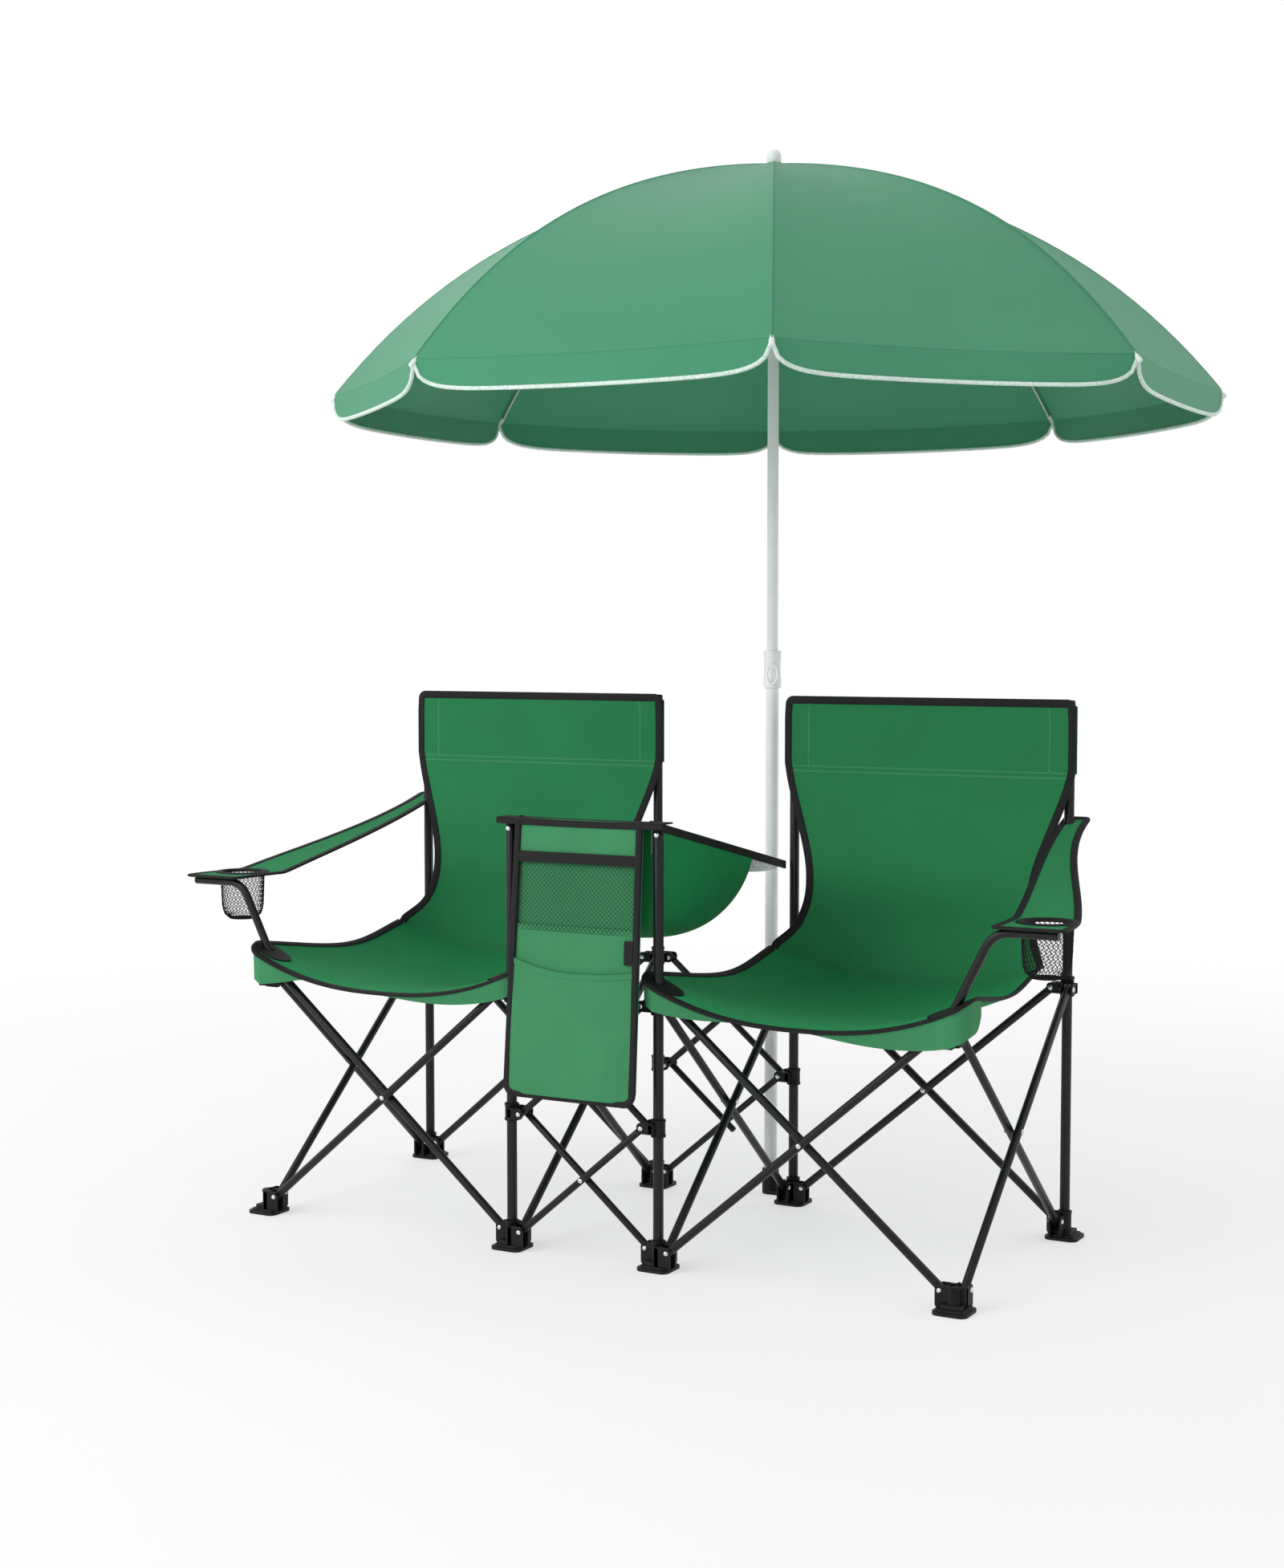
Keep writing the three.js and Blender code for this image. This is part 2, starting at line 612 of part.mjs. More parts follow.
/** A seat, cut round the post and the arm tube that pass its front corners. */
function seat(name, middleX, postColumn, armCurve) {
  const surface = slingSurface(slingStations().seat, middleX, (v) => {
    const lean = (Math.PI / 4) * smooth(v);
    return [-Math.sin(lean), Math.cos(lean)];
  });
  const { x, y } = cornerOf(postColumn, 'front');
  const postHole = upright(x, y, HUB_PIVOT_Z, CONSOLE_POST_TOP, POST_RADIUS + GROMMET_CLEARANCE);
  const armHole = bentRod(pathPoints(armCurve, 3), BRACE_RADIUS + GROMMET_CLEARANCE * 2, TUBE_SIDES);
  const cloth = sheet(surface, CLOTH_ACROSS, CLOTH_ALONG, CLOTH);
  place(name, cloth.subtract(postHole).subtract(armHole), GREEN_CLOTH);
}

function back(name, middleX) {
  const surface = slingSurface(slingStations().back, middleX, (v) => {
    const lean = Math.PI / 4 + (Math.PI / 4) * smooth(Math.min(1, v * 2));
    return [-Math.sin(lean), Math.cos(lean)];
  });
  place(name, sheet(surface, CLOTH_ACROSS, CLOTH_ALONG + 1, CLOTH), GREEN_CLOTH);
}

/** An armrest strip from the bent arm tube to the rear post, with a cup holder hanging in its front. */
function armrest(name, column, sign, arm) {
  const rear = cornerOf(column, 'rear');
  const frontY = arm.tip.y - ARM_FRONT_OVERHANG;
  const hemZ = ARM_FRONT_Z + BRACE_RADIUS + SEAT_GAP + CLOTH / 2;
  const frontMiddle = (arm.elbow.x + arm.tip.x) / 2 + sign * BRACE_RADIUS;
  const frontHalf = ARM_HEM_LENGTH / 2 + BRACE_RADIUS;
  const surface = (u, v) => {
    const t = smooth(v);
    const middle = frontMiddle + (rear.x + sign * POST_RADIUS - frontMiddle) * t;
    const half = frontHalf + (ARM_REAR_HALF - frontHalf) * t;
    const y = frontY + (rear.y + ARM_REAR_HALF - frontY) * v;
    const level = Math.max(0, (v - 0.24) / 0.76);
    const z = hemZ + (ARM_REAR_Z - hemZ) * level - ARM_SAG * Math.sin(Math.PI * level);
    return new THREE.Vector3(middle + u * half, y, z);
  };
  const cupY = arm.tip.y + CUP_SETBACK;
  const cupBottom = hemZ - CUP_DEPTH;
  const cup = new THREE.LatheGeometry([
    new THREE.Vector2(0, cupBottom),
    new THREE.Vector2(CUP_BASE_RADIUS, cupBottom),
    new THREE.Vector2(CUP_RADIUS, hemZ),
    new THREE.Vector2(CUP_RADIUS - CUP_WALL, hemZ),
    new THREE.Vector2(CUP_BASE_RADIUS - CUP_WALL, cupBottom + CUP_WALL),
    new THREE.Vector2(0, cupBottom + CUP_WALL),
  ], ROUND_SIDES).rotateX(Math.PI / 2).translate(frontMiddle, cupY, 0);
  const inside = upright(frontMiddle, cupY, hemZ - CUP_WALL, hemZ + CUP_DEPTH, CUP_RADIUS - CUP_WALL);
  const postHole = upright(rear.x, rear.y, SLEEVE_RADIUS, REAR_POST_TOP, POST_RADIUS + GROMMET_CLEARANCE);
  const cloth = sheet(surface, 4, 10, CLOTH);
  const whole = cloth.add(outward(solidOf(cup), mergeVertices(cup))).subtract(inside).subtract(postHole);
  place(name, whole, GREEN_CLOTH);
}

/** The console's cloth: a strap over the front posts, the slung bag behind it and the organiser in front. */
function consoleCloth() {
  const xLow = COLUMN_X.left_inner + BAG_SIDE_GAP;
  const xHigh = COLUMN_X.right_inner - BAG_SIDE_GAP;
  const frontY = ROW_Y.front + BAG_END_GAP;
  const rearY = ROW_Y.rear - BAG_END_GAP;
  const strapLow = CONSOLE_POST_TOP + SEAT_GAP;
  const strapHigh = strapLow + CLOTH;
  const rim = (y) => strapHigh + ((BAG_REAR_Z - strapHigh) * (y - frontY)) / (rearY - frontY);
  const pouchRear = frontY + (rearY - frontY) * POUCH_SHARE;
  const side = (inset, lift) => {
    const points = [];
    const [start, end] = [frontY + inset, pouchRear - inset];
    for (let i = 0; i <= POUCH_STEPS; i++) {
      const t = i / POUCH_STEPS;
      const y = start + (end - start) * t;
      points.push([y, rim(y) - CLOTH - (POUCH_DEPTH - 2 * inset) * Math.sqrt(1 - t ** POUCH_POWER)]);
    }
    points.push([end, rim(end) + lift], [start, rim(start) + lift]);
    return points;
  };
  const pouch = slab(side(0, 0), xLow, xHigh).subtract(slab(side(CLOTH, CLOTH * 4), xLow + CLOTH, xHigh - CLOTH));
  const rimStrap = [
    [pouchRear - CLOTH * 2, rim(pouchRear - CLOTH * 2)], [rearY, rim(rearY)],
    [rearY, rim(rearY) - RIM_STRAP], [pouchRear - CLOTH * 2, rim(pouchRear - CLOTH * 2) - RIM_STRAP],
  ];
  const bag = joined([
    pouch,
    slab(rimStrap, xLow, xLow + CLOTH),
    slab(rimStrap, xHigh - CLOTH, xHigh),
  ]);
  const strap = block(
    new THREE.Vector3(COLUMN_X.left_inner - STRAP_END, ROW_Y.front - STRAP_HALF_DEPTH, strapLow),
    new THREE.Vector3(COLUMN_X.right_inner + STRAP_END, ROW_Y.front + STRAP_HALF_DEPTH, strapHigh),
  );
  place('console_cloth', joined([bag, strap, organiser(strapHigh)]), GREEN_CLOTH);
}

/** The hanging organiser: a panel with an open net in its upper half. */
function organiser(topZ) {
  const xLow = COLUMN_X.left_inner + ORGANISER_SIDE_GAP;
  const width = COLUMN_X.right_inner - ORGANISER_SIDE_GAP - xLow;
  const topY = ROW_Y.front - ORGANISER_TOP_REACH;
  const bottomY = ROW_Y.front - ORGANISER_BOTTOM_REACH;
  const height = Math.hypot(topZ - ORGANISER_BOTTOM_Z, topY - bottomY);
  const outline = new THREE.Shape([
    new THREE.Vector2(0, 0), new THREE.Vector2(width, 0),
    new THREE.Vector2(width, height), new THREE.Vector2(0, height),
  ]);
  const pitchX = (width - 2 * NET_MARGIN) / NET_COLUMNS;
  const pitchZ = NET_HEIGHT / NET_ROWS;
  const netBottom = height - NET_TOP_DROP - NET_HEIGHT;
  for (let row = 0; row < NET_ROWS; row++) {
    for (let column = 0; column < NET_COLUMNS; column++) {
      const x = NET_MARGIN + (column + 0.5) * pitchX;
      const z = netBottom + (row + 0.5) * pitchZ;
      const [a, b] = [(pitchX - NET_CORD) / 2, (pitchZ - NET_CORD) / 2];
      outline.holes.push(new THREE.Path([
        new THREE.Vector2(x - a, z), new THREE.Vector2(x, z - b),
        new THREE.Vector2(x + a, z), new THREE.Vector2(x, z + b),
      ]));
    }
  }
  const geometry = new THREE.ExtrudeGeometry(outline, { depth: CLOTH, bevelEnabled: false });
  const lean = Math.atan2(topY - bottomY, topZ - ORGANISER_BOTTOM_Z);
  geometry.rotateX(Math.PI / 2 - lean).translate(xLow, bottomY, ORGANISER_BOTTOM_Z);
  return solidOf(geometry);
}

/** Height of the canopy's upper face over a rib, a given distance from the pole. */
const canopyZ = (r) => CANOPY_APEX_Z - CANOPY_DROP * (r / CANOPY_RADIUS) ** 2;

/** Distance from the pole of each ring of points in the canopy. */
const ringRadius = (k) => CANOPY_HOLE + ((CANOPY_RADIUS - CANOPY_HOLE) * k) / CANOPY_RINGS;

function lowerPole() {
  const boreBottom = LOWER_POLE_TOP - TELESCOPE_OVERLAP - TELESCOPE_TRAVEL - SEAT_GAP;
  const bore = UPPER_POLE_RADIUS + POST_CLEARANCE;
  const bottom = SOCKET_FLOOR + SEAT_GAP;
  const profile = [
    [0, bottom], [LOWER_POLE_RADIUS, bottom],
    [LOWER_POLE_RADIUS, LOWER_POLE_TOP - LOCK_COLLAR_HEIGHT],
    [LOCK_COLLAR_RADIUS, LOWER_POLE_TOP - LOCK_COLLAR_HEIGHT],
    [LOCK_COLLAR_RADIUS, LOWER_POLE_TOP], [bore, LOWER_POLE_TOP],
    [bore, boreBottom], [0, boreBottom],
  ].map(([r, z]) => new THREE.Vector2(r, z));
  const geometry = new THREE.LatheGeometry(profile, ROUND_SIDES).rotateX(Math.PI / 2);
  geometry.translate(POLE.x, POLE.y, 0);
  place('umbrella_lower_pole', outward(solidOf(geometry), mergeVertices(geometry)), POLE_STEEL);
}

/** The upper pole with the crown, the ribs, the runner, its stretchers and the finial. */
function mast() {
  const at = (angle, r, z) => new THREE.Vector3(
    POLE.x + r * Math.sin(angle), POLE.y - r * Math.cos(angle), z,
  );
  const crownTop = canopyZ(0) - CROWN_DROP;
  const pieces = [
    upright(POLE.x, POLE.y, LOWER_POLE_TOP - TELESCOPE_OVERLAP, canopyZ(0) + SEAT_GAP * 4, UPPER_POLE_RADIUS),
    upright(POLE.x, POLE.y, crownTop - CROWN_HEIGHT, crownTop, CROWN_RADIUS),
    upright(POLE.x, POLE.y, canopyZ(0) + SEAT_GAP * 3, FINIAL_TOP, FINIAL_RADIUS),
    upright(POLE.x, POLE.y, RUNNER_BOTTOM, RUNNER_BOTTOM + RUNNER_HEIGHT, RUNNER_RADIUS),
  ];
  for (let i = 0; i < RIB_COUNT; i++) {
    const angle = RIB_TURN + (2 * Math.PI * i) / RIB_COUNT;
    const points = [];
    for (let k = 0; k <= CANOPY_RINGS; k++) {
      const r = Math.min(ringRadius(k), CANOPY_RADIUS - RIB_TIP_INSET);
      points.push(at(angle, r, canopyZ(r) - RIB_DROP));
    }
    for (let k = 0; k < CANOPY_RINGS; k++) {
      pieces.push(rod(points[k], points[k + 1], RIB_SIZE / 2, 4));
    }
    const hold = at(angle, STRETCHER_REACH, canopyZ(STRETCHER_REACH) - RIB_DROP);
    pieces.push(rod(at(angle, RUNNER_RADIUS / 2, RUNNER_BOTTOM + RUNNER_HEIGHT / 2), hold, STRETCHER_RADIUS, 4));
  }
  place('umbrella_mast', joined(pieces), POLE_STEEL);
}

function canopy() {
  const outer = [];
  const inner = [];
  for (let k = 0; k <= CANOPY_RINGS; k++) {
    const r = ringRadius(k);
    const innerRadius = k === CANOPY_RINGS ? r - CLOTH : r;
    outer.push(new THREE.Vector2(r, canopyZ(r)));
    inner.unshift(new THREE.Vector2(innerRadius, canopyZ(r) - CLOTH));
  }
  const rim = canopyZ(CANOPY_RADIUS);
  outer.push(new THREE.Vector2(CANOPY_RADIUS, rim - VALANCE));
  inner.unshift(new THREE.Vector2(CANOPY_RADIUS - CLOTH, rim - VALANCE));
  const profile = [...outer, ...inner, outer[0].clone()];
  const geometry = new THREE.LatheGeometry(profile, RIB_COUNT, RIB_TURN).rotateX(Math.PI / 2);
  geometry.translate(POLE.x, POLE.y, 0);
  place('umbrella_canopy', outward(solidOf(geometry), mergeVertices(geometry)), CANOPY_CLOTH);
}

// Feet, posts, hubs and collars
foot('left_outer', 'front', ['right', 'back'], false);
foot('left_inner', 'front', ['left', 'right', 'back'], true);
foot('right_inner', 'front', ['left', 'right', 'back'], true);
foot('right_outer', 'front', ['left', 'back'], false);
foot('left_outer', 'rear', ['right', 'front'], true);
foot('left_inner', 'rear', ['left', 'right', 'front'], true);
foot('right_inner', 'rear', ['right', 'front'], true);
foot('right_outer', 'rear', ['left', 'front'], true);
for (const column of Object.keys(COLUMN_X)) post(column, 'rear', REAR_POST_TOP);
for (const column of ['left_inner', 'right_inner']) post(column, 'front', CONSOLE_POST_TOP);
slidingHub('left_inner', 'front', ['left', 'right', 'back']);
slidingHub('right_inner', 'front', ['left', 'right', 'back']);
slidingHub('left_outer', 'rear', ['right', 'front']);
slidingHub('left_inner', 'rear', ['left', 'right', 'front']);
slidingHub('right_inner', 'rear', ['left', 'right', 'front']);
slidingHub('right_outer', 'rear', ['left', 'front']);
armHub('left_outer', 'right');
armHub('right_outer', 'left');
for (const row of Object.keys(ROW_Y)) {
  collar('left_inner', row, 'right');
  collar('right_inner', row, 'left');
}

// Crossed braces
for (const column of Object.keys(COLUMN_X)) {
  cross(`${column}_side`, cornerOf(column, 'front'), cornerOf(column, 'rear'), 'back', 'front',
    FOOT_PIVOT_Z, HUB_PIVOT_Z, BRACE_RADIUS);
}
cross('left_rear', cornerOf('left_outer', 'rear'), cornerOf('left_inner', 'rear'), 'right', 'left',
  FOOT_PIVOT_Z, HUB_PIVOT_Z, BRACE_RADIUS);
cross('right_rear', cornerOf('right_inner', 'rear'), cornerOf('right_outer', 'rear'), 'right', 'left',
  FOOT_PIVOT_Z, HUB_PIVOT_Z, BRACE_RADIUS);
for (const row of Object.keys(ROW_Y)) {
  const ends = [cornerOf('left_inner', row), cornerOf('right_inner', row)];
  const stub = row === 'rear' ? SHORT_BRACE_STUB : 0;
  cross(`console_${row}_lower`, ...ends, 'right', 'left', FOOT_PIVOT_Z, COLLAR_PIVOT_Z, CONSOLE_BRACE_RADIUS, stub);
  cross(`console_${row}_upper`, ...ends, 'right', 'left', COLLAR_PIVOT_Z, HUB_PIVOT_Z, CONSOLE_BRACE_RADIUS);
}

// Front crosses, each with one plain brace and one bent arm tube
const leftArm = armTubeCurve('left_inner', 'left_outer', 'left');
const rightArm = armTubeCurve('right_inner', 'right_outer', 'right');
armTube('left_arm_tube', 'left_inner', 'left_outer', 'left', false);
brace('left_front_rising_right', braceLine(cornerOf('left_outer', 'front'), cornerOf('left_inner', 'front'),
  'right', -1, FOOT_PIVOT_Z, HUB_PIVOT_Z), BRACE_RADIUS, true, 0);
armTube('right_arm_tube', 'right_inner', 'right_outer', 'right', true);
brace('right_front_rising_left', braceLine(cornerOf('right_outer', 'front'), cornerOf('right_inner', 'front'),
  'left', -1, FOOT_PIVOT_Z, HUB_PIVOT_Z), BRACE_RADIUS, false, 0);

// Cloth
const leftMiddle = (COLUMN_X.left_outer + COLUMN_X.left_inner) / 2;
const rightMiddle = (COLUMN_X.right_inner + COLUMN_X.right_outer) / 2;
seat('left_seat', leftMiddle, 'left_inner', leftArm.curve);
seat('right_seat', rightMiddle, 'right_inner', rightArm.curve);
back('left_back', leftMiddle);
back('right_back', rightMiddle);
armrest('left_armrest', 'left_outer', -1, leftArm);
armrest('right_armrest', 'right_outer', 1, rightArm);
consoleCloth();

// Umbrella
lowerPole();
mast();
canopy();

// The origin is at the middle of the object's footprint, on the floor
const box = new THREE.Box3().setFromObject(loveseat);
const centre = box.getCenter(new THREE.Vector3());
loveseat.position.set(-centre.x, -centre.y, -box.min.z);

export default loveseat;
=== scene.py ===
"""Dresses a folding camping loveseat: round tubes, moulded joints, slung cloth, console and umbrella."""

from __future__ import annotations

import logging
import math
from contextlib import contextmanager
from dataclasses import dataclass, field
from enum import Enum
from functools import cache
from typing import Any, Callable, Iterator, Optional, Sequence

import bpy
from mathutils import Matrix, Vector

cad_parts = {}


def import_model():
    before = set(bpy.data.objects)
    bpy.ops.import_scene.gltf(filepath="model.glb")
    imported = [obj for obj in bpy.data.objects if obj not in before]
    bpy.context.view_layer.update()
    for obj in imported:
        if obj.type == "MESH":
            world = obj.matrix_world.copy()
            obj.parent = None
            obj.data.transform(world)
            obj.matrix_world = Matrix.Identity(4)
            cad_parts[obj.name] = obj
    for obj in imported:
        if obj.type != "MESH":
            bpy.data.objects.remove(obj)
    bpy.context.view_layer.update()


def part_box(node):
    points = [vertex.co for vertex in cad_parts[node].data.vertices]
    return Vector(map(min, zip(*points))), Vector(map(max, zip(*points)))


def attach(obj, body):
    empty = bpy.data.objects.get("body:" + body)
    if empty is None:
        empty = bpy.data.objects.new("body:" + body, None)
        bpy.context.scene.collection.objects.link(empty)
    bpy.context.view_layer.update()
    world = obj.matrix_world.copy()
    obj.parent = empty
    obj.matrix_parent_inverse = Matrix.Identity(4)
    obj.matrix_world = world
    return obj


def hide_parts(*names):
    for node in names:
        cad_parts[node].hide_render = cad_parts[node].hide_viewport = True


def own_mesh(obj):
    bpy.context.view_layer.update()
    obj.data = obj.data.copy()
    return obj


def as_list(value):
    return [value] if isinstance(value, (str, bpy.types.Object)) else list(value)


LOG = logging.getLogger("loveseat")
Surface = Callable[[float, float], Vector]
Colour = tuple[float, float, float, float]
Pair = tuple[float, float]
Cells = tuple[int, int]
Line = tuple[Vector, Vector]
Piece = bpy.types.Object
ROWS = ("front", "rear")
UP = Vector((0.0, 0.0, 1.0))
MERGE = 0.00002
LEVEL = 1e-6


# Shader expressions


def operator(kind: str, swap: bool = False) -> Callable[[Wire, Any], Wire]:
    """A Python operator between wires or numbers that adds a Math node."""
    return lambda wire, other: wire.math(kind, other, swap)


class Wire:
    """A shader socket that can be used in Python expressions."""

    def __init__(self, board: Board, socket: bpy.types.NodeSocket) -> None:
        """Keeps the output socket that the wire starts from, and the board that owns it."""
        self.board = board
        self.socket = socket

    def math(self, operation: str, other: Any = None, swap: bool = False) -> Wire:
        """The result of a Math node on this wire and another value, or the other way round."""
        values = (self,) if other is None else (other, self) if swap else (self, other)
        return self.board.wire("ShaderNodeMath", {"operation": operation}, dict(enumerate(values)))

    __add__ = operator("ADD")
    __sub__ = operator("SUBTRACT")
    __rsub__ = operator("SUBTRACT", swap=True)
    __mul__ = __rmul__ = operator("MULTIPLY")
    __truediv__ = operator("DIVIDE")
    __lt__ = operator("LESS_THAN")
    __gt__ = operator("GREATER_THAN")

    def __abs__(self) -> Wire:
        """Size without sign."""
        return self.math("ABSOLUTE")


class Board:
    """A new material's node tree, with one method that makes nodes."""

    def __init__(self, name: str) -> None:
        """Makes the material and keeps its shader.

        Args:
            name: The material's name.
        """
        self.material = bpy.data.materials.new(name)
        self.material.use_nodes = True
        self.tree = self.material.node_tree
        self.shader = next(n for n in self.tree.nodes if n.type == "BSDF_PRINCIPLED")
        self.output = next(n for n in self.tree.nodes if n.type == "OUTPUT_MATERIAL")

    def node(self, kind: str, settings: dict[str, Any], inputs: dict[Any, Any]) -> bpy.types.Node:
        """Adds one node.

        Args:
            kind: The node's type name.
            settings: Its properties, set before its sockets.
            inputs: Socket name or number, with the value or wire for it.

        Returns:
            The new node.
        """
        node = self.tree.nodes.new(kind)
        for key, value in settings.items():
            setattr(node, key, value)
        for key, value in inputs.items():
            self.feed(node.inputs[key], value)
        return node

    def wire(self, kind: str, settings: dict[str, Any], inputs: dict[Any, Any], output: Any = 0) -> Wire:
        """Adds one node and gives the wire of one of its outputs."""
        return Wire(self, self.node(kind, settings, inputs).outputs[output])

    def feed(self, socket: bpy.types.NodeSocket, value: Any) -> None:
        """Links a wire to a socket, or sets its value."""
        if isinstance(value, Wire):
            self.tree.links.new(value.socket, socket)
        else:
            socket.default_value = value

    def set(self, **values: Any) -> None:
        """Feeds the shader's own sockets, with underscores for spaces in their names."""
        for key, value in values.items():
            self.feed(self.shader.inputs[key.replace("_", " ")], value)

    def noise(self, vector: Wire, scale: float, detail: float = 3.0) -> Wire:
        """A noise value around a half, at a scale per metre."""
        inputs = {"Vector": vector, "Scale": scale, "Detail": detail}
        return self.wire("ShaderNodeTexNoise", {}, inputs)

    def stretch(self, vector: Wire, scale: tuple[float, float, float]) -> Wire:
        """The same coordinates with each axis scaled."""
        return self.wire("ShaderNodeMapping", {}, {"Vector": vector, "Scale": scale})

    def tint(self, factor: Wire, dark: Any, light: Any) -> Wire:
        """A colour between two, by a factor."""
        inputs = {0: factor, 6: dark, 7: light}
        return self.wire("ShaderNodeMix", {"data_type": "RGBA"}, inputs, output=2)

    def bump(self, height: Wire, distance: float, strength: float, below: Optional[Wire] = None) -> Wire:
        """A normal from a height, on top of another normal if one is given."""
        inputs = {"Height": height, "Distance": distance, "Strength": strength}
        if below is not None:
            inputs["Normal"] = below
        return self.wire("ShaderNodeBump", {}, inputs)

    def place(self) -> Wire:
        """The piece's own coordinates in metres."""
        return self.wire("ShaderNodeTexCoord", {}, {}, output="Object")

    def cut(self) -> tuple[Wire, Wire, Wire]:
        """The cloth's flat coordinates in metres.

        Returns:
            Both together, across and along.
        """
        flat = self.wire("ShaderNodeTexCoord", {}, {}, output="UV")
        parts = self.node("ShaderNodeSeparateXYZ", {}, {0: flat})
        return flat, Wire(self, parts.outputs[0]), Wire(self, parts.outputs[1])


def shade(colour: Colour, factor: float) -> Colour:
    """The colour made lighter or darker by a factor."""
    return (colour[0] * factor, colour[1] * factor, colour[2] * factor, 1.0)


@dataclass(frozen=True)
class Seam:
    """A row of stitches on a cloth: where it lies across or along, and how far it runs."""

    across: bool
    at: float
    low: float
    high: float


@dataclass(frozen=True)
class ClothFinish:
    """Woven polyester with threads, soft tone changes, creases and rows of stitches."""

    name: str
    colour: Colour
    thread: float = 0.0011
    crease: float = 0.3
    crease_scale: float = 9.0
    sheen: float = 0.02
    roughness: float = 0.8
    specular: float = 0.15
    seams: tuple[Seam, ...] = ()

    def make(self) -> bpy.types.Material:
        """Builds the material.

        Returns:
            The material.
        """
        board = Board(self.name)
        flat, across, along = board.cut()
        place = board.place()
        turn = 2.0 * math.pi / self.thread
        weave = (across * turn).math("SINE") * (along * turn).math("SINE")
        slub = board.noise(board.stretch(flat, (60.0, 1400.0, 1.0)), 1.0, 2.0)
        slub = slub + board.noise(board.stretch(flat, (1400.0, 60.0, 1.0)), 1.0, 2.0)
        cloud = board.noise(place, self.crease_scale * 0.7, 4.0)
        tone = cloud * 0.75 + slub * 0.2 + weave * 0.06 - 0.05
        stitched = self.stitches(across, along)
        colour = board.tint(tone, shade(self.colour, 0.82), shade(self.colour, 1.18))
        if stitched is not None:
            colour = board.tint(stitched * 0.32, colour, (0.16, 0.42, 0.25, 1.0))
        board.set(Base_Color=colour)
        crumple = board.noise(board.stretch(place, (1.0, 1.0, 0.6)), self.crease_scale, 3.0)
        folds = board.bump(crumple, 0.02, self.crease)
        height = weave * 0.5 if stitched is None else weave * 0.5 + stitched * 1.5
        board.set(Normal=board.bump(height, 0.0004, 0.6, folds))
        board.set(Roughness=0.06 * cloud + (self.roughness - 0.03))
        board.set(Sheen_Weight=self.sheen, Sheen_Roughness=0.5, Specular_IOR_Level=self.specular)
        return board.material

    def stitches(self, across: Wire, along: Wire) -> Optional[Wire]:
        """The mask of all the rows of stitches.

        Args:
            across: The flat coordinate across the cloth, in metres.
            along: The flat coordinate along the cloth, in metres.

        Returns:
            One on a stitch and nought elsewhere, or None without seams.
        """
        pitch, filled, half = 0.0052, 0.68, 0.0013
        mask = None
        for seam in self.seams:
            run, line = (across, along) if seam.across else (along, across)
            dash = (run / pitch).math("FRACT") < filled
            row = (abs(line - seam.at) < half) * dash * (run > seam.low) * (run < seam.high)
            mask = row if mask is None else mask + row
        return mask


@dataclass(frozen=True)
class TapeFinish:
    """Ribbed black binding tape and webbing."""

    name: str
    colour: Colour
    rib: float = 0.0016

    def make(self) -> bpy.types.Material:
        """Builds the material.

        Returns:
            The material.
        """
        board = Board(self.name)
        _, across, along = board.cut()
        rib = (along * (2.0 * math.pi / self.rib)).math("SINE")
        cross = (across * (2.0 * math.pi / (self.rib * 0.7))).math("SINE")
        fuzz = board.noise(board.place(), 260.0)
        tone = fuzz * 0.8 + rib * 0.08
        board.set(Base_Color=board.tint(tone, shade(self.colour, 0.6), shade(self.colour, 1.6)))
        board.set(Normal=board.bump(rib + cross * 0.4, 0.0003, 0.5))
        board.set(Roughness=0.2 * fuzz + 0.6, Specular_IOR_Level=0.25)
        return board.material


@dataclass(frozen=True)
class CoatFinish:
    """Powder coat, moulded plastic or bare metal: a fine grain, uneven gloss and light scuffs."""

    name: str
    colour: Colour
    roughness: float
    metallic: float = 0.0
    grain: float = 900.0
    grain_strength: float = 0.08
    scuff: float = 0.25
    coat: float = 0.0
    specular: float = 0.5

    def make(self) -> bpy.types.Material:
        """Builds the material.

        Returns:
            The material.
        """
        board = Board(self.name)
        place = board.place()
        grain = board.noise(place, self.grain, 2.0)
        cloud = board.noise(place, 14.0, 4.0)
        rub = board.noise(board.stretch(place, (1.0, 1.0, 0.25)), 90.0, 5.0)
        worn = (rub - 0.62).math("MAXIMUM", 0.0) * self.scuff * 6.0
        tone = cloud * 0.5 + worn + 0.1
        board.set(Base_Color=board.tint(tone, shade(self.colour, 0.8), shade(self.colour, 1.35)))
        board.set(Roughness=cloud * 0.14 + worn * 0.5 + (self.roughness - 0.07))
        board.set(Normal=board.bump(grain, 0.0004, self.grain_strength))
        board.set(Metallic=self.metallic, Coat_Weight=self.coat, Coat_Roughness=0.2)
        board.set(Specular_IOR_Level=self.specular)
        return board.material


@dataclass(frozen=True)
class FoilFinish:
    """Crinkled silver lining of the cooler pouch."""

    name: str
    colour: Colour

    def make(self) -> bpy.types.Material:
        """Builds the material.

        Returns:
            The material.
        """
        board = Board(self.name)
        place = board.place()
        cells = board.wire("ShaderNodeTexVoronoi", {}, {"Vector": place, "Scale": 210.0})
        speck = board.noise(place, 520.0, 2.0)
        tone = cells * 0.9 + speck * 0.5
        board.set(Base_Color=board.tint(tone, shade(self.colour, 0.35), shade(self.colour, 1.1)))
        board.set(Normal=board.bump(cells + speck * 0.5, 0.0012, 0.7))
        board.set(Roughness=speck * 0.3 + 0.25, Metallic=0.6)
        return board.material


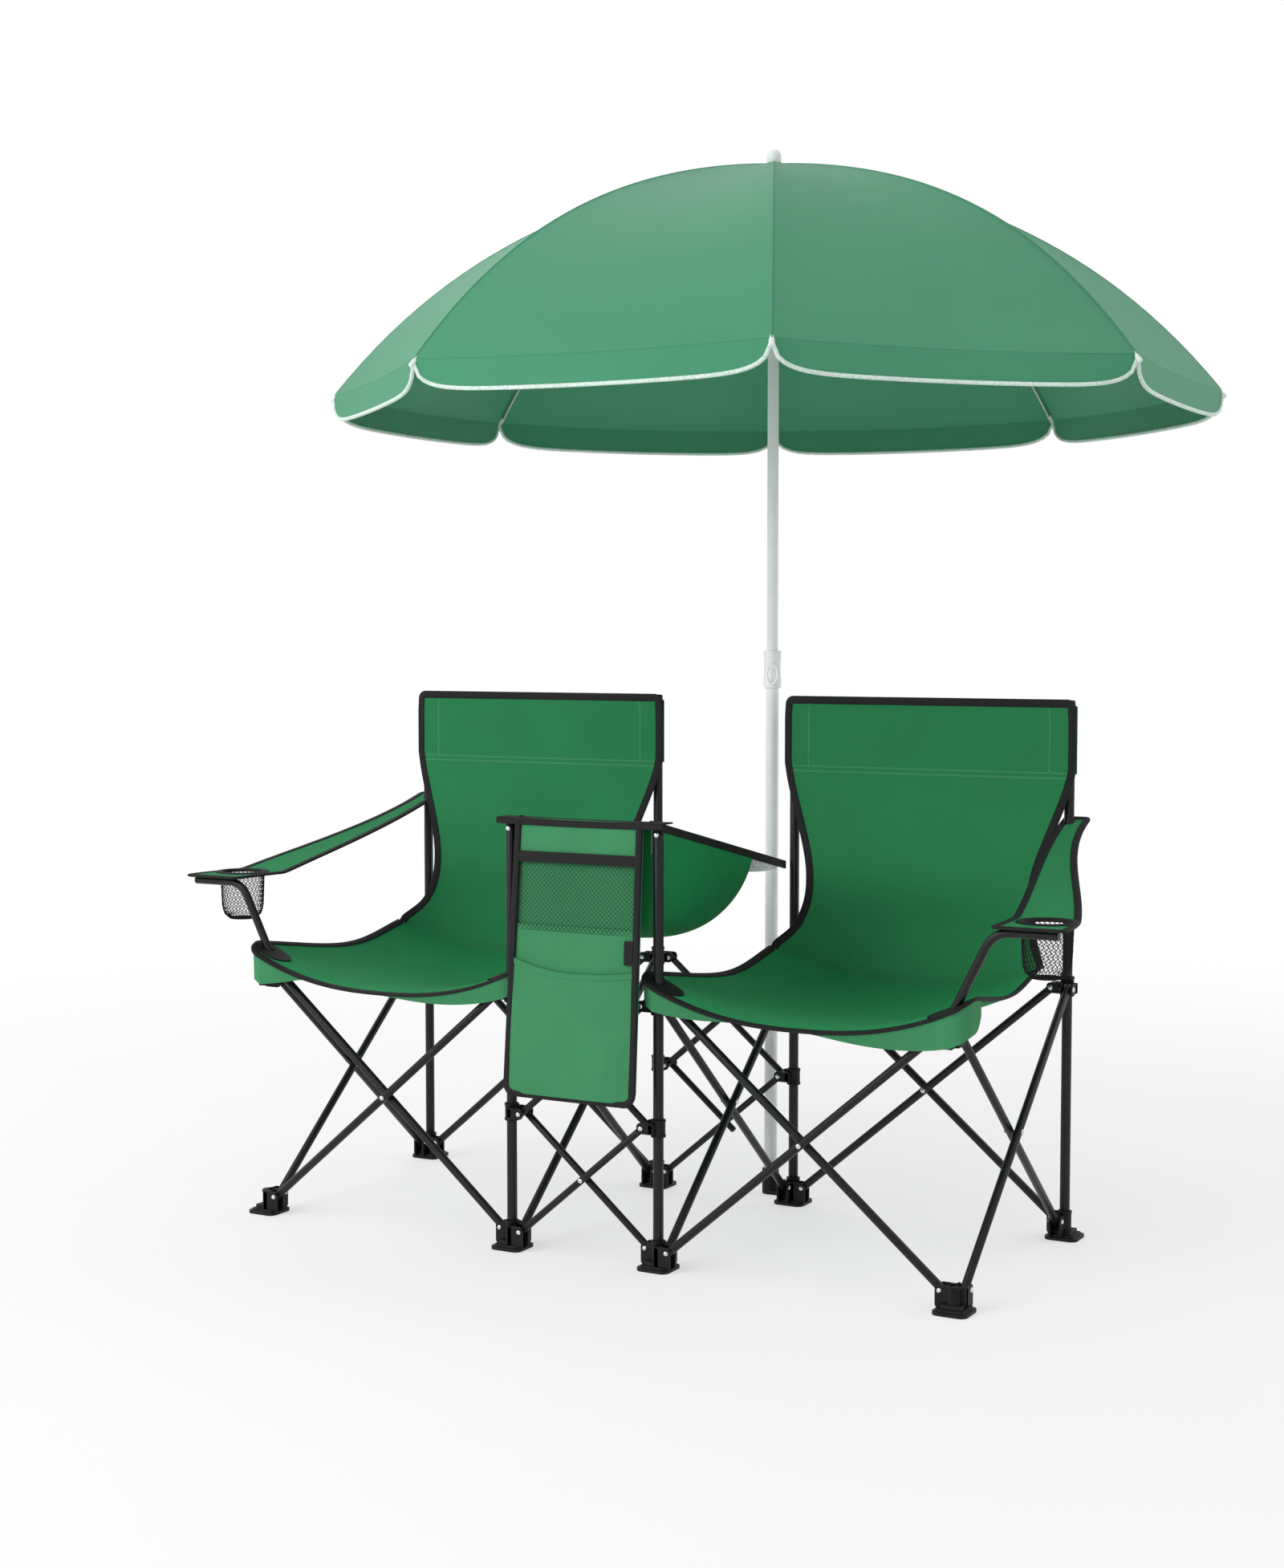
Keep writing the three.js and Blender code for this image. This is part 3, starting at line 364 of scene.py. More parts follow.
class Finish(Enum):
    """The finishes of this object."""

    STEEL = CoatFinish("black_powder_coat", (0.0062, 0.0063, 0.0068, 1.0), 0.38, specular=0.32)
    PLASTIC = CoatFinish(
        "black_moulded_plastic", (0.0065, 0.0065, 0.0068, 1.0), 0.55, grain=1600.0, specular=0.25
    )
    RIVET = CoatFinish("rivet_steel", (0.72, 0.72, 0.73, 1.0), 0.28, metallic=1.0, scuff=0.1)
    POLE = CoatFinish("pole_enamel", (0.93, 0.94, 0.94, 1.0), 0.36, scuff=0.03, coat=0.1)
    WHITE = CoatFinish("white_plastic", (0.78, 0.84, 0.81, 1.0), 0.4, scuff=0.05)
    RIB = CoatFinish("rib_wire", (0.5, 0.52, 0.52, 1.0), 0.35, metallic=0.6, scuff=0.1)
    # The seat is the same green cloth as the back, coloured lighter to make up for the shade that the back
    # and the canopy cast on it: partly the cloth's own colour, partly painted light.
    SEAT = ClothFinish(
        "seat_cloth", (0.0165, 0.260, 0.084, 1.0), seams=(Seam(True, 0.048, 0.03, 0.5),)
    )
    BACK = ClothFinish(
        "back_cloth", (0.0225, 0.212, 0.074, 1.0), crease=0.22,
        seams=(
            Seam(True, 0.371, 0.01, 0.50), Seam(True, 0.378, 0.01, 0.50),
            Seam(False, 0.043, 0.378, 0.49), Seam(False, 0.467, 0.378, 0.49),
        ),
    )
    ARM = ClothFinish("arm_cloth", (0.0225, 0.238, 0.082, 1.0), crease=0.2, crease_scale=16.0)
    POCKET = ClothFinish(
        "pocket_cloth", (0.052, 0.255, 0.107, 1.0), crease=0.25, crease_scale=14.0
    )
    BAG = ClothFinish("bag_cloth", (0.010, 0.245, 0.074, 1.0), crease=0.35, crease_scale=12.0)
    CANOPY = ClothFinish(
        "canopy_cloth", (0.064, 0.31, 0.168, 1.0), thread=0.0008, crease=0.1, crease_scale=5.0,
        sheen=0.03, roughness=0.5, specular=0.25,
    )
    TAPE = TapeFinish("binding_tape", (0.011, 0.011, 0.012, 1.0))
    PIPING = TapeFinish("pale_piping", (0.78, 0.93, 0.85, 1.0))
    NET = TapeFinish("net_cord", (0.012, 0.013, 0.013, 1.0), rib=0.0008)
    FOIL = FoilFinish("pouch_lining", (0.62, 0.64, 0.64, 1.0))


@cache
def material(finish: Finish) -> bpy.types.Material:
    """The material of a finish, made once when it is first asked for."""
    return finish.value.make()


# Modelling tools


class Bench:
    """Makes pieces with Blender's operators. Each is left at the origin with its place in its mesh."""

    masters: dict[str, Piece] = {}

    @staticmethod
    def clear() -> None:
        """Leaves nothing selected."""
        bpy.ops.object.select_all(action="DESELECT")

    @staticmethod
    def settle(name: str) -> Piece:
        """Names the new active piece and applies its place.

        Args:
            name: The piece's name.

        Returns:
            The piece.
        """
        piece = bpy.context.object
        piece.name = name
        piece.data.name = name
        bpy.ops.object.transform_apply(location=True, rotation=True, scale=True)
        return piece

    @classmethod
    def pick(cls, piece: Piece) -> None:
        """Selects one piece and makes it active."""
        cls.clear()
        piece.select_set(True)
        bpy.context.view_layer.objects.active = piece

    @classmethod
    def apply(cls, piece: Piece, kind: str, **settings: Any) -> Piece:
        """Adds a modifier with its settings and applies it.

        Args:
            piece: The piece to change.
            kind: The modifier's type.
            settings: The modifier's properties.

        Returns:
            The same piece.
        """
        cls.pick(piece)
        modifier = piece.modifiers.new(kind.lower(), kind)
        for key, value in settings.items():
            setattr(modifier, key, value)
        bpy.ops.object.modifier_apply(modifier=modifier.name)
        return piece

    @classmethod
    def soften(cls, piece: Piece, width: float, segments: int = 2) -> Piece:
        """Rounds the sharp edges and shades the piece smooth.

        Args:
            piece: The piece.
            width: Width of the rounding.
            segments: Number of faces across it.

        Returns:
            The same piece.
        """
        cls.apply(
            piece, "BEVEL", width=width, segments=segments, limit_method="ANGLE",
            angle_limit=math.radians(40.0), harden_normals=False,
        )
        return cls.smooth(piece)

    @classmethod
    def smooth(cls, piece: Piece, angle: float = 42.0) -> Piece:
        """Shades the piece smooth below an angle in degrees."""
        cls.pick(piece)
        bpy.ops.object.shade_smooth_by_angle(angle=math.radians(angle))
        return piece

    @staticmethod
    def dress(piece: Piece, finish: Finish) -> Piece:
        """Gives the piece one finish."""
        piece.data.materials.clear()
        piece.data.materials.append(material(finish))
        return piece

    @staticmethod
    @contextmanager
    def editing(whole: bool = True) -> Iterator[None]:
        """Edit mode for the active piece, with the whole of it selected or what is selected already."""
        bpy.ops.object.mode_set(mode="EDIT")
        if whole:
            bpy.ops.mesh.select_all(action="SELECT")
        yield
        bpy.ops.object.mode_set(mode="OBJECT")

    @classmethod
    def block(cls, name: str, one: Vector, other: Vector) -> Piece:
        """A plain block between two opposite corners.

        Args:
            name: The piece's name.
            one: The first corner.
            other: The opposite one.

        Returns:
            The block.
        """
        low, high = (Vector(tuple(map(limit, one, other))) for limit in (min, max))
        cls.clear()
        bpy.ops.mesh.primitive_cube_add(size=1.0, location=(low + high) / 2)
        bpy.context.object.scale = high - low
        return cls.settle(name)

    @classmethod
    def flat_grid(cls, cells: Cells) -> bpy.types.Mesh:
        """Adds a flat grid from -1 to 1 each way and gives its mesh."""
        cls.clear()
        bpy.ops.mesh.primitive_grid_add(
            x_subdivisions=cells[0], y_subdivisions=cells[1], size=2.0, calc_uvs=True
        )
        return bpy.context.object.data

    @classmethod
    def laid_grid(cls, name: str, surface: Surface, cells: Cells) -> Piece:
        """A grid of cells laid over a surface."""
        mesh = cls.flat_grid(cells)
        places = [surface(v.co.x, (v.co.y + 1.0) / 2.0) for v in mesh.vertices]
        mesh.vertices.foreach_set("co", [value for place in places for value in place])
        return cls.settle(name)

    @classmethod
    def rod(
        cls, name: str, start: Vector, end: Vector, radius: float, finish: Finish,
        rounding: float = 0.0015, sides: int = 24,
    ) -> Piece:
        """A straight round bar with softened ends.

        Args:
            name: The piece's name.
            start: Middle of its first end.
            end: Middle of its other end.
            radius: Its radius.
            finish: Its finish.
            rounding: Width of the softened edge at the ends.
            sides: Number of faces round it.

        Returns:
            The piece.
        """
        cls.clear()
        along = end - start
        bpy.ops.mesh.primitive_cylinder_add(
            vertices=sides, radius=radius, depth=along.length, location=(start + end) / 2,
            rotation=along.to_track_quat("Z", "Y").to_euler(),
        )
        return cls.dress(cls.soften(cls.settle(name), rounding), finish)

    @classmethod
    def slab(
        cls, name: str, low: Vector, high: Vector, finish: Finish, rounding: float = 0.0015,
        segments: int = 2,
    ) -> Piece:
        """A block between two opposite corners with softened edges."""
        return cls.dress(cls.soften(cls.block(name, low, high), rounding, segments), finish)

    @classmethod
    def turned(
        cls, name: str, profile: Sequence[Pair], at: Vector, finish: Finish, steps: int = 40
    ) -> Piece:
        """A round piece spun from a profile of radius and height about an upright axis.

        Args:
            name: The piece's name.
            profile: Radius and height of each point.
            at: The foot of the axis.
            finish: Its finish.
            steps: Number of faces round it.

        Returns:
            The piece.
        """
        cls.clear()
        bpy.ops.mesh.primitive_plane_add(size=1.0)
        piece = bpy.context.object
        mesh = piece.data
        mesh.clear_geometry()
        points = [Vector((r, 0.0, z)) + at for r, z in profile]
        mesh.from_pydata(points, [(i, i + 1) for i in range(len(points) - 1)], [])
        with cls.editing():
            bpy.ops.mesh.spin(steps=steps, angle=2.0 * math.pi, center=at, axis=(0.0, 0.0, 1.0))
            bpy.ops.mesh.select_all(action="SELECT")
            bpy.ops.mesh.remove_doubles(threshold=MERGE)
            bpy.ops.mesh.normals_make_consistent(inside=False)
        return cls.dress(cls.smooth(cls.settle(name)), finish)

    @classmethod
    def cord(
        cls, name: str, points: Sequence[Vector], radius: float, finish: Finish, closed: bool = False,
        sides: int = 3,
    ) -> Piece:
        """A round bar or piping bent through points.

        Args:
            name: The piece's name.
            points: The points that its middle runs through.
            radius: Its radius.
            finish: Its finish.
            closed: True if it is a ring.
            sides: How finely its section is rounded.

        Returns:
            The piece, as a mesh.
        """
        cls.clear()
        curve = bpy.data.curves.new(name, "CURVE")
        curve.dimensions = "3D"
        spline = curve.splines.new("POLY")
        spline.points.add(len(points) - 1)
        for knot, point in zip(spline.points, points):
            knot.co = (*point, 1.0)
        spline.use_cyclic_u = closed
        curve.bevel_depth = radius
        curve.bevel_resolution = sides
        curve.use_fill_caps = not closed
        piece = bpy.data.objects.new(name, curve)
        bpy.context.collection.objects.link(piece)
        cls.pick(piece)
        bpy.ops.object.convert(target="MESH")
        return cls.dress(cls.smooth(cls.settle(name), 60.0), finish)

    @classmethod
    def sheet(
        cls, name: str, surface: Surface, grid: Cells, size: Pair, thickness: float, finish: Finish
    ) -> Piece:
        """A cloth of even thickness laid over a surface.

        Args:
            name: The piece's name.
            surface: Gives a point for a place across, from -1 to 1, and one along, from 0 to 1.
            grid: Number of cells across and along.
            size: Flat width and length in metres, for the weave.
            thickness: Thickness of the cloth.
            finish: Its finish.

        Returns:
            The piece.
        """
        mesh = cls.flat_grid(grid)
        cut = [(v.co.x, (v.co.y + 1.0) / 2.0) for v in mesh.vertices]
        weave = mesh.uv_layers.active.data
        for loop in mesh.loops:
            u, v = cut[loop.vertex_index]
            weave[loop.index].uv = ((u + 1.0) / 2.0 * size[0], v * size[1])
        mesh.vertices.foreach_set("co", [value for u, v in cut for value in surface(u, v)])
        piece = cls.settle(name)
        cls.apply(piece, "SOLIDIFY", thickness=thickness, offset=0.0, use_even_offset=False)
        return cls.dress(cls.smooth(piece, 60.0), finish)

    @classmethod
    def trim(
        cls, name: str, surface: Surface, route: Sequence[Pair], width: float, thickness: float
    ) -> Piece:
        """Rounded tape folded over the edge of a cloth.

        Args:
            name: The piece's name.
            surface: The cloth's surface.
            route: The places on the cloth that the edge runs through.
            width: How far the tape reaches in from the edge.
            thickness: Thickness over the cloth.

        Returns:
            The tape.
        """
        around = 12
        rings = [cls.tape_ring(surface, route, i, (width, thickness), around) for i in range(len(route))]
        run = [0.0]
        for before, after in zip(rings, rings[1:]):
            run.append(run[-1] + (after[0] - before[0]).length)
        last = len(route) - 1
        mesh = cls.flat_grid((around, last))
        shares = [((v.co.x + 1.0) / 2.0, (v.co.y + 1.0) / 2.0) for v in mesh.vertices]
        cells = [(round(u * around), round(v * last)) for u, v in shares]
        weave = mesh.uv_layers.active.data
        for loop in mesh.loops:
            i, j = cells[loop.vertex_index]
            weave[loop.index].uv = (2.0 * width * i / around, run[j])
        mesh.vertices.foreach_set("co", [value for i, j in cells for value in rings[j][i % around]])
        piece = cls.settle(name)
        with cls.editing():
            bpy.ops.mesh.remove_doubles(threshold=MERGE)
            bpy.ops.mesh.fill_holes(sides=0)
            bpy.ops.mesh.select_all(action="SELECT")
            bpy.ops.mesh.normals_make_consistent(inside=False)
        return cls.dress(cls.smooth(piece, 50.0), Finish.TAPE)

    @staticmethod
    def tape_ring(
        surface: Surface, route: Sequence[Pair], index: int, size: Pair, around: int
    ) -> list[Vector]:
        """The section of a tape at one place of its route.

        Args:
            surface: The cloth's surface.
            route: The places that the tape runs through.
            index: Which of them.
            size: Width and thickness of the tape.
            around: Number of points round the section.

        Returns:
            The points.
        """
        last = len(route) - 1
        overhang = 0.0015
        squareness = 0.6
        ring = route[0] == route[last]
        before = route[last - 1] if ring and index == 0 else route[max(index - 1, 0)]
        after = route[1] if ring and index == last else route[min(index + 1, last)]
        u, v = route[index]
        edge = surface(u, v)
        run = (surface(*after) - surface(*before)).normalized()
        inner_u, inner_v = u * 0.92, 0.5 + (v - 0.5) * 0.92
        step = 0.01
        across = surface(inner_u + step, inner_v) - surface(inner_u - step, inner_v)
        along = surface(inner_u, inner_v + step) - surface(inner_u, inner_v - step)
        normal = across.cross(along).normalized()
        inward = normal.cross(run).normalized()
        if inward.dot(surface(u * 0.8, 0.5 + (v - 0.5) * 0.8) - edge) < 0.0:
            inward.negate()
        points = []
        for k in range(around):
            angle = 2.0 * math.pi * k / around
            wide, high = (math.copysign(abs(x) ** squareness, x) for x in (math.cos(angle), math.sin(angle)))
            reach = size[0] * (0.5 + 0.5 * wide) - overhang
            points.append(edge + inward * reach + normal * (size[1] / 2 * high))
        return points

    @classmethod
    def drill(cls, piece: Piece, start: Vector, end: Vector, radius: float) -> None:
        """Cuts a round hole through a piece."""
        cutter = cls.rod("hole_cutter", start, end, radius, Finish.TAPE, 0.0002, 40)
        cls.apply(piece, "BOOLEAN", operation="DIFFERENCE", object=cutter, solver="EXACT")
        bpy.data.objects.remove(cutter)

    @staticmethod
    def choose(mesh: bpy.types.Mesh, faces: bool, wanted: Callable[[Any], bool]) -> None:
        """Selects only the faces, or else only the edges, that pass a test.

        Args:
            mesh: The mesh.
            faces: True for faces.
            wanted: Says if a face or edge is selected.
        """
        bpy.context.scene.tool_settings.mesh_select_mode = (False, not faces, faces)
        for parts in (mesh.vertices, mesh.edges, mesh.polygons):
            parts.foreach_set("select", [False] * len(parts))
        for part in mesh.polygons if faces else mesh.edges:
            part.select = wanted(part)

    @classmethod
    def round_edges(
        cls, piece: Piece, wanted: Callable[[Vector, Vector], bool], width: float, segments: int
    ) -> None:
        """Rounds the edges whose two ends pass a test.

        Args:
            piece: The piece to change.
            wanted: Says for the two ends of an edge if it is rounded.
            width: Width of the rounding.
            segments: Number of faces across it.
        """
        cls.pick(piece)
        corners = piece.data.vertices
        cls.choose(piece.data, False, lambda edge: wanted(*(corners[i].co for i in edge.vertices)))
        with cls.editing(whole=False):
            bpy.ops.mesh.bevel(offset=width, segments=segments, affect="EDGES")

    @classmethod
    def join(cls, name: str, pieces: Sequence[Piece]) -> Piece:
        """Joins pieces into one and names it.

        Args:
            name: The whole's name.
            pieces: The pieces.

        Returns:
            The joined piece.
        """
        cls.clear()
        for piece in pieces:
            piece.select_set(True)
        bpy.context.view_layer.objects.active = pieces[0]
        if len(pieces) > 1:
            bpy.ops.object.join()
        whole = bpy.context.object
        whole.name = name
        whole.data.name = name
        return whole

    @classmethod
    def rivet(cls, at: Vector, facing: Vector, size: float = 1.0) -> Piece:
        """A domed rivet head on a surface, modelled once and copied.

        Args:
            at: Middle of its base.
            facing: The way that the head points.
            size: Its size against the usual one.

        Returns:
            The head.
        """
        if "rivet" not in cls.masters:
            dome = [(0.0, 0.0023), (0.0014, 0.0022), (0.0028, 0.0017)]
            dome += [(0.0038, 0.0009), (0.0041, 0.0), (0.0, 0.0)]
            cls.masters["rivet"] = cls.turned("rivet_master", dome, Vector(), Finish.RIVET, 16)
        turn = facing.to_track_quat("Z", "Y").to_matrix().to_4x4()
        mesh = cls.masters["rivet"].data.copy()
        mesh.transform(Matrix.Translation(at) @ turn @ Matrix.Scale(size, 4))
        head = bpy.data.objects.new("rivet", mesh)
        bpy.context.collection.objects.link(head)
        return head

    @classmethod
    def tidy(cls) -> None:
        """Removes the masters that copies were made from."""
        for master in cls.masters.values():
            bpy.data.objects.remove(master)
        cls.masters.clear()


def fit(piece: Piece, body: str, slot: str, *nodes: str) -> Piece:
    """Puts a finished piece on its body, in place of the nodes that it stands for.

    Args:
        piece: The finished piece.
        body: The body that it moves with.
        slot: The record's material slot; not used.
        nodes: The nodes that it replaces.

    Returns:
        The same piece.
    """
    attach(piece, body)
    if nodes:
        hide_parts(*nodes)
    LOG.info("%s rides on %s", piece.name, body)
    return piece


def spline(values: Sequence[float], t: float) -> float:
    """A smooth value through evenly spaced ones.

    Args:
        values: The values to run through.
        t: Place along them, from 0 to 1.

    Returns:
        The value there.
    """
    place = min(max(t, 0.0), 1.0) * (len(values) - 1)
    i = min(int(place), len(values) - 2)
    x = place - i
    b, c = values[i], values[i + 1]
    a = values[i - 1] if i > 0 else 2.0 * b - c
    d = values[i + 2] if i + 2 < len(values) else 2.0 * c - b
    return b + 0.5 * x * (c - a + x * (2.0 * a - 5.0 * b + 4.0 * c - d + x * (3.0 * (b - c) + d - a)))


def ease(t: float) -> float:
    """A slow start and a slow end between 0 and 1."""
    t = min(max(t, 0.0), 1.0)
    return t * t * (3.0 - 2.0 * t)


def rounded(half: float, distance: float, radius: float) -> float:
    """Half the width of a cloth with rounded corners, at a distance from its end."""
    gap = max(0.0, radius - distance)
    return half - radius + math.sqrt(max(0.0, radius * radius - gap * gap))


def route(*corners: Pair, steps: int = 56) -> list[Pair]:
    """The places along the edges of a cloth from corner to corner, closer together near the corners.

    Args:
        corners: The corners.
        steps: Number of steps to each of them.

    Returns:
        The places.
    """
    places = [corners[0]]
    for (u0, v0), (u1, v1) in zip(corners, corners[1:]):
        for k in range(1, steps + 1):
            share = 0.5 - 0.5 * math.cos(math.pi * k / steps)
            places.append((u0 + (u1 - u0) * share, v0 + (v1 - v0) * share))
    places[-1] = corners[-1]
    return places


# The frame


class Way(Enum):
    """The four ways that a brace can leave a corner, seen from above."""

    RIGHT = (1.0, 0.0)
    LEFT = (-1.0, 0.0)
    BACK = (0.0, 1.0)
    FRONT = (0.0, -1.0)

    @property
    def back(self) -> Way:
        """The opposite way."""
        return Way((-self.value[0] + 0.0, -self.value[1] + 0.0))


@dataclass
class Layout:
    """Where the posts and pivots are, in metres."""

    reach: float = 0.022
    foot_pivot: float = 0.030
    hub_pivot: float = 0.404
    lane: float = 0.007
    post_radius: float = 0.008
    brace_radius: float = 0.0065
    console_radius: float = 0.0055
    slide: float = 0.0004
    columns: dict[str, float] = field(default_factory=dict)
    rows: dict[str, float] = field(default_factory=dict)

    def __post_init__(self) -> None:
        """Reads the posts' places from the model."""
        for column in ("left_outer", "left_inner", "right_inner", "right_outer"):
            low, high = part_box(f"{column}_rear_post")
            self.columns[column] = (low[0] + high[0]) / 2
        for row in ROWS:
            low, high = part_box(f"right_inner_{row}_post")
            self.rows[row] = (low[1] + high[1]) / 2

    @property
    def collar_pivot(self) -> float:
        """Height of the console's collars."""
        return (self.foot_pivot + self.hub_pivot) / 2

    @property
    def bore(self) -> float:
        """Inner radius of a sleeve that slides on a post."""
        return self.post_radius + self.slide

    def corner(self, column: str, row: str) -> Vector:
        """A corner's place on the floor."""
        return Vector((self.columns[column], self.rows[row], 0.0))

    @staticmethod
    def out(corner: Vector, way: Way, out: float, across: float, z: float) -> Vector:
        """A point out from a corner, to one side of the way out, at a height."""
        dx, dy = way.value
        return Vector((corner.x + dx * out - dy * across, corner.y + dy * out + dx * across, z))

    def line(self, start: Vector, end: Vector, way: Way, low: float, high: float) -> Line:
        """A brace's lower and upper pivot, from the corner that it stands in to the one it rises to."""
        return (
            self.out(start, way, self.reach, -self.lane, low),
            self.out(end, way.back, self.reach, self.lane, high),
        )


@dataclass
class Joints:
    """The moulded feet, hubs and collars with their ears and rivets."""

    layout: Layout
    ear: float = 0.0035
    ear_end: float = 0.029
    ear_half: float = 0.0085
    bridge: float = 0.0105
    sleeve: float = 0.0108
    sleeve_below: float = 0.014
    hub_above: float = 0.018
    lip: float = 0.0008
    base: float = 0.054
    base_height: float = 0.008
    step_in: float = 0.006
    ear_rounding: float = 0.0062

    def ear_pair(
        self, name: str, corner: Vector, way: Way, pivot: float, lanes: Pair, low: float, bridge_top: float
    ) -> list[Piece]:
        """Two rounded ears, the block between them and the rivet through them.

        Args:
            name: Start of the pieces' names.
            corner: The corner that they stand at.
            way: The way that they point.
            pivot: Height of the rivet.
            lanes: The gap's two sides, across the way out.
            low: Height of their lower edge.
            bridge_top: Height of the top of the block.

        Returns:
            The pieces.
        """
        made = []
        top = pivot + self.ear_half
        out = self.layout.out
        for side, inner in zip((-1.0, 1.0), lanes):
            outer = inner + side * self.ear
            ends = (out(corner, way, 0.0, inner, low), out(corner, way, self.ear_end, outer, top))
            made.append(self.ear_plate(f"{name}_ear", ends, way))
            face = out(corner, way, self.layout.reach, outer, pivot)
            made.append(Bench.rivet(face, out(Vector(), way, 0.0, side, 0.0)))
        ends = (
            out(corner, way, 0.0, lanes[0] - self.ear, low),
            out(corner, way, self.bridge, lanes[1] + self.ear, bridge_top),
        )
        made.append(Bench.slab(f"{name}_bridge", *ends, Finish.PLASTIC, 0.002))
        return made

    def ear_plate(self, name: str, ends: Line, way: Way) -> Piece:
        """One ear, rounded at the end away from the corner.

        Args:
            name: The piece's name.
            ends: Two opposite corners of it.
            way: The way that it points.

        Returns:
            The ear.
        """
        piece = Bench.block(name, *ends)
        reach = Vector((*way.value, 0.0))
        tip = max(v.co.dot(reach) for v in piece.data.vertices)

        def at_tip(a: Vector, b: Vector) -> bool:
            """True for the level edges at the ear's end."""
            return min(a.dot(reach), b.dot(reach)) > tip - 10.0 * LEVEL and abs(a.z - b.z) < LEVEL

        Bench.round_edges(piece, at_tip, self.ear_rounding, 5)
        return Bench.dress(Bench.soften(piece, 0.0006, 1), Finish.PLASTIC)

    def foot(self, column: str, row: str, ways: Sequence[Way], post: bool) -> Piece:
        """A foot: flanged base, upstand, sleeve and a pair of ears for each brace.

        Args:
            column: The column's name.
            row: The row's name.
            ways: The ways that its braces leave it.
            post: True if a post stands in it.

        Returns:
            The joined foot.
        """
        name = f"{column}_{row}_foot_shell"
        corner = self.layout.corner(column, row)
        top = self.layout.foot_pivot + self.ear_half
        gap = (-2.0 * self.layout.lane, 0.0)
        made = [self.base_plate(name, corner)]
        for way in ways:
            made += self.ear_pair(name, corner, way, self.layout.foot_pivot, gap, self.base_height / 2, top)
        inner = self.layout.bore if post else 0.0
        made.append(self.sleeve_ring(f"{name}_sleeve", corner, 0.002, top + (0.006 if post else 0.0), inner))
        return Bench.join(name, made)

    def base_plate(self, name: str, corner: Vector) -> Piece:
        """The rounded square flange of a foot, stepped up towards its middle.

        Args:
            name: Start of the piece's name.
            corner: The corner that it stands at.

        Returns:
            The flange.
        """
        half = self.base / 2
        flange = self.base_height * 0.6
        reach = Vector((half, half, 0.0))
        piece = Bench.block(f"{name}_base", corner - reach, corner + reach + UP * flange)

        def upright(a: Vector, b: Vector) -> bool:
            """True for the edges that stand upright."""
            return abs(a.x - b.x) < LEVEL and abs(a.y - b.y) < LEVEL

        Bench.round_edges(piece, upright, half * 0.42, 6)
        Bench.choose(piece.data, True, lambda face: face.normal.z > 0.9)
        with Bench.editing(whole=False):
            for inset, rise in ((0.0055, self.base_height - flange), (self.step_in, self.step_in)):
                bpy.ops.mesh.inset(thickness=inset)
                bpy.ops.mesh.extrude_region_move(TRANSFORM_OT_translate={"value": (0.0, 0.0, rise)})
        return Bench.dress(Bench.soften(piece, 0.0016), Finish.PLASTIC)

    def sleeve_ring(self, name: str, corner: Vector, low: float, high: float, inner: float) -> Piece:
        """A round sleeve with a lip at each end, open for a post or closed.

        Args:
            name: The piece's name.
            corner: The corner that it stands at.
            low: Height of its lower end.
            high: Height of its upper end.
            inner: Radius of its bore, or nought if it is closed.

        Returns:
            The sleeve.
        """
        r, lip, mouth = self.sleeve, self.sleeve + self.lip, self.sleeve - 0.0006
        outer = [(mouth, low), (lip, low + 0.001), (lip, low + 0.004), (r, low + 0.005)]
        outer += [(r, high - 0.005), (lip, high - 0.004), (lip, high - 0.001), (mouth, high)]
        inside = [(inner, high), (inner, low), outer[0]] if inner else [(0.0, high)]
        profile = outer + inside if inner else [(0.0, low)] + outer + inside
        return Bench.turned(name, profile, Vector((corner.x, corner.y, 0.0)), Finish.PLASTIC, 28)

    def slider(self, column: str, row: str, ways: Sequence[Way], collar: bool = False) -> Piece:
        """A hub at seat height, or a collar between two stages of braces, that slides on a post.

        Args:
            column: The column's name.
            row: The row's name.
            ways: The ways that its ears point.
            collar: True for a collar, whose ears hold two braces.

        Returns:
            The joined hub or collar.
        """
        lay = self.layout
        corner = lay.corner(column, row)
        name = f"{column}_{row}_{'collar' if collar else 'hub'}_shell"
        pivot, above = (lay.collar_pivot, self.sleeve_below) if collar else (lay.hub_pivot, self.hub_above)
        low, high = pivot - self.sleeve_below, pivot + above
        made = [self.sleeve_ring(f"{name}_sleeve", corner, low, high, lay.bore)]
        gap = (-2.0 * lay.lane if collar else 0.0, 2.0 * lay.lane)
        for way in ways:
            made += self.ear_pair(name, corner, way, pivot, gap, pivot - self.ear_half, pivot + self.ear_half)
        return Bench.join(name, made)

    def arm_hub(self, column: str, way: Way) -> Piece:
        """The hub at an outer front corner, which an arm tube passes through.

        Args:
            column: The column's name.
            way: The way to the chair's other front corner.

        Returns:
            The joined hub.
        """
        name = f"{column}_front_hub_shell"
        corner = self.layout.corner(column, "front")
        pivot = self.layout.hub_pivot
        gap = (0.0, 2.0 * self.layout.lane)
        low = pivot - 0.024
        made = self.ear_pair(name, corner, way, pivot, gap, low, low + 0.015)
        made += self.ear_pair(name, corner, Way.BACK, pivot, gap, low, pivot + self.ear_half)
        return Bench.join(name, made)

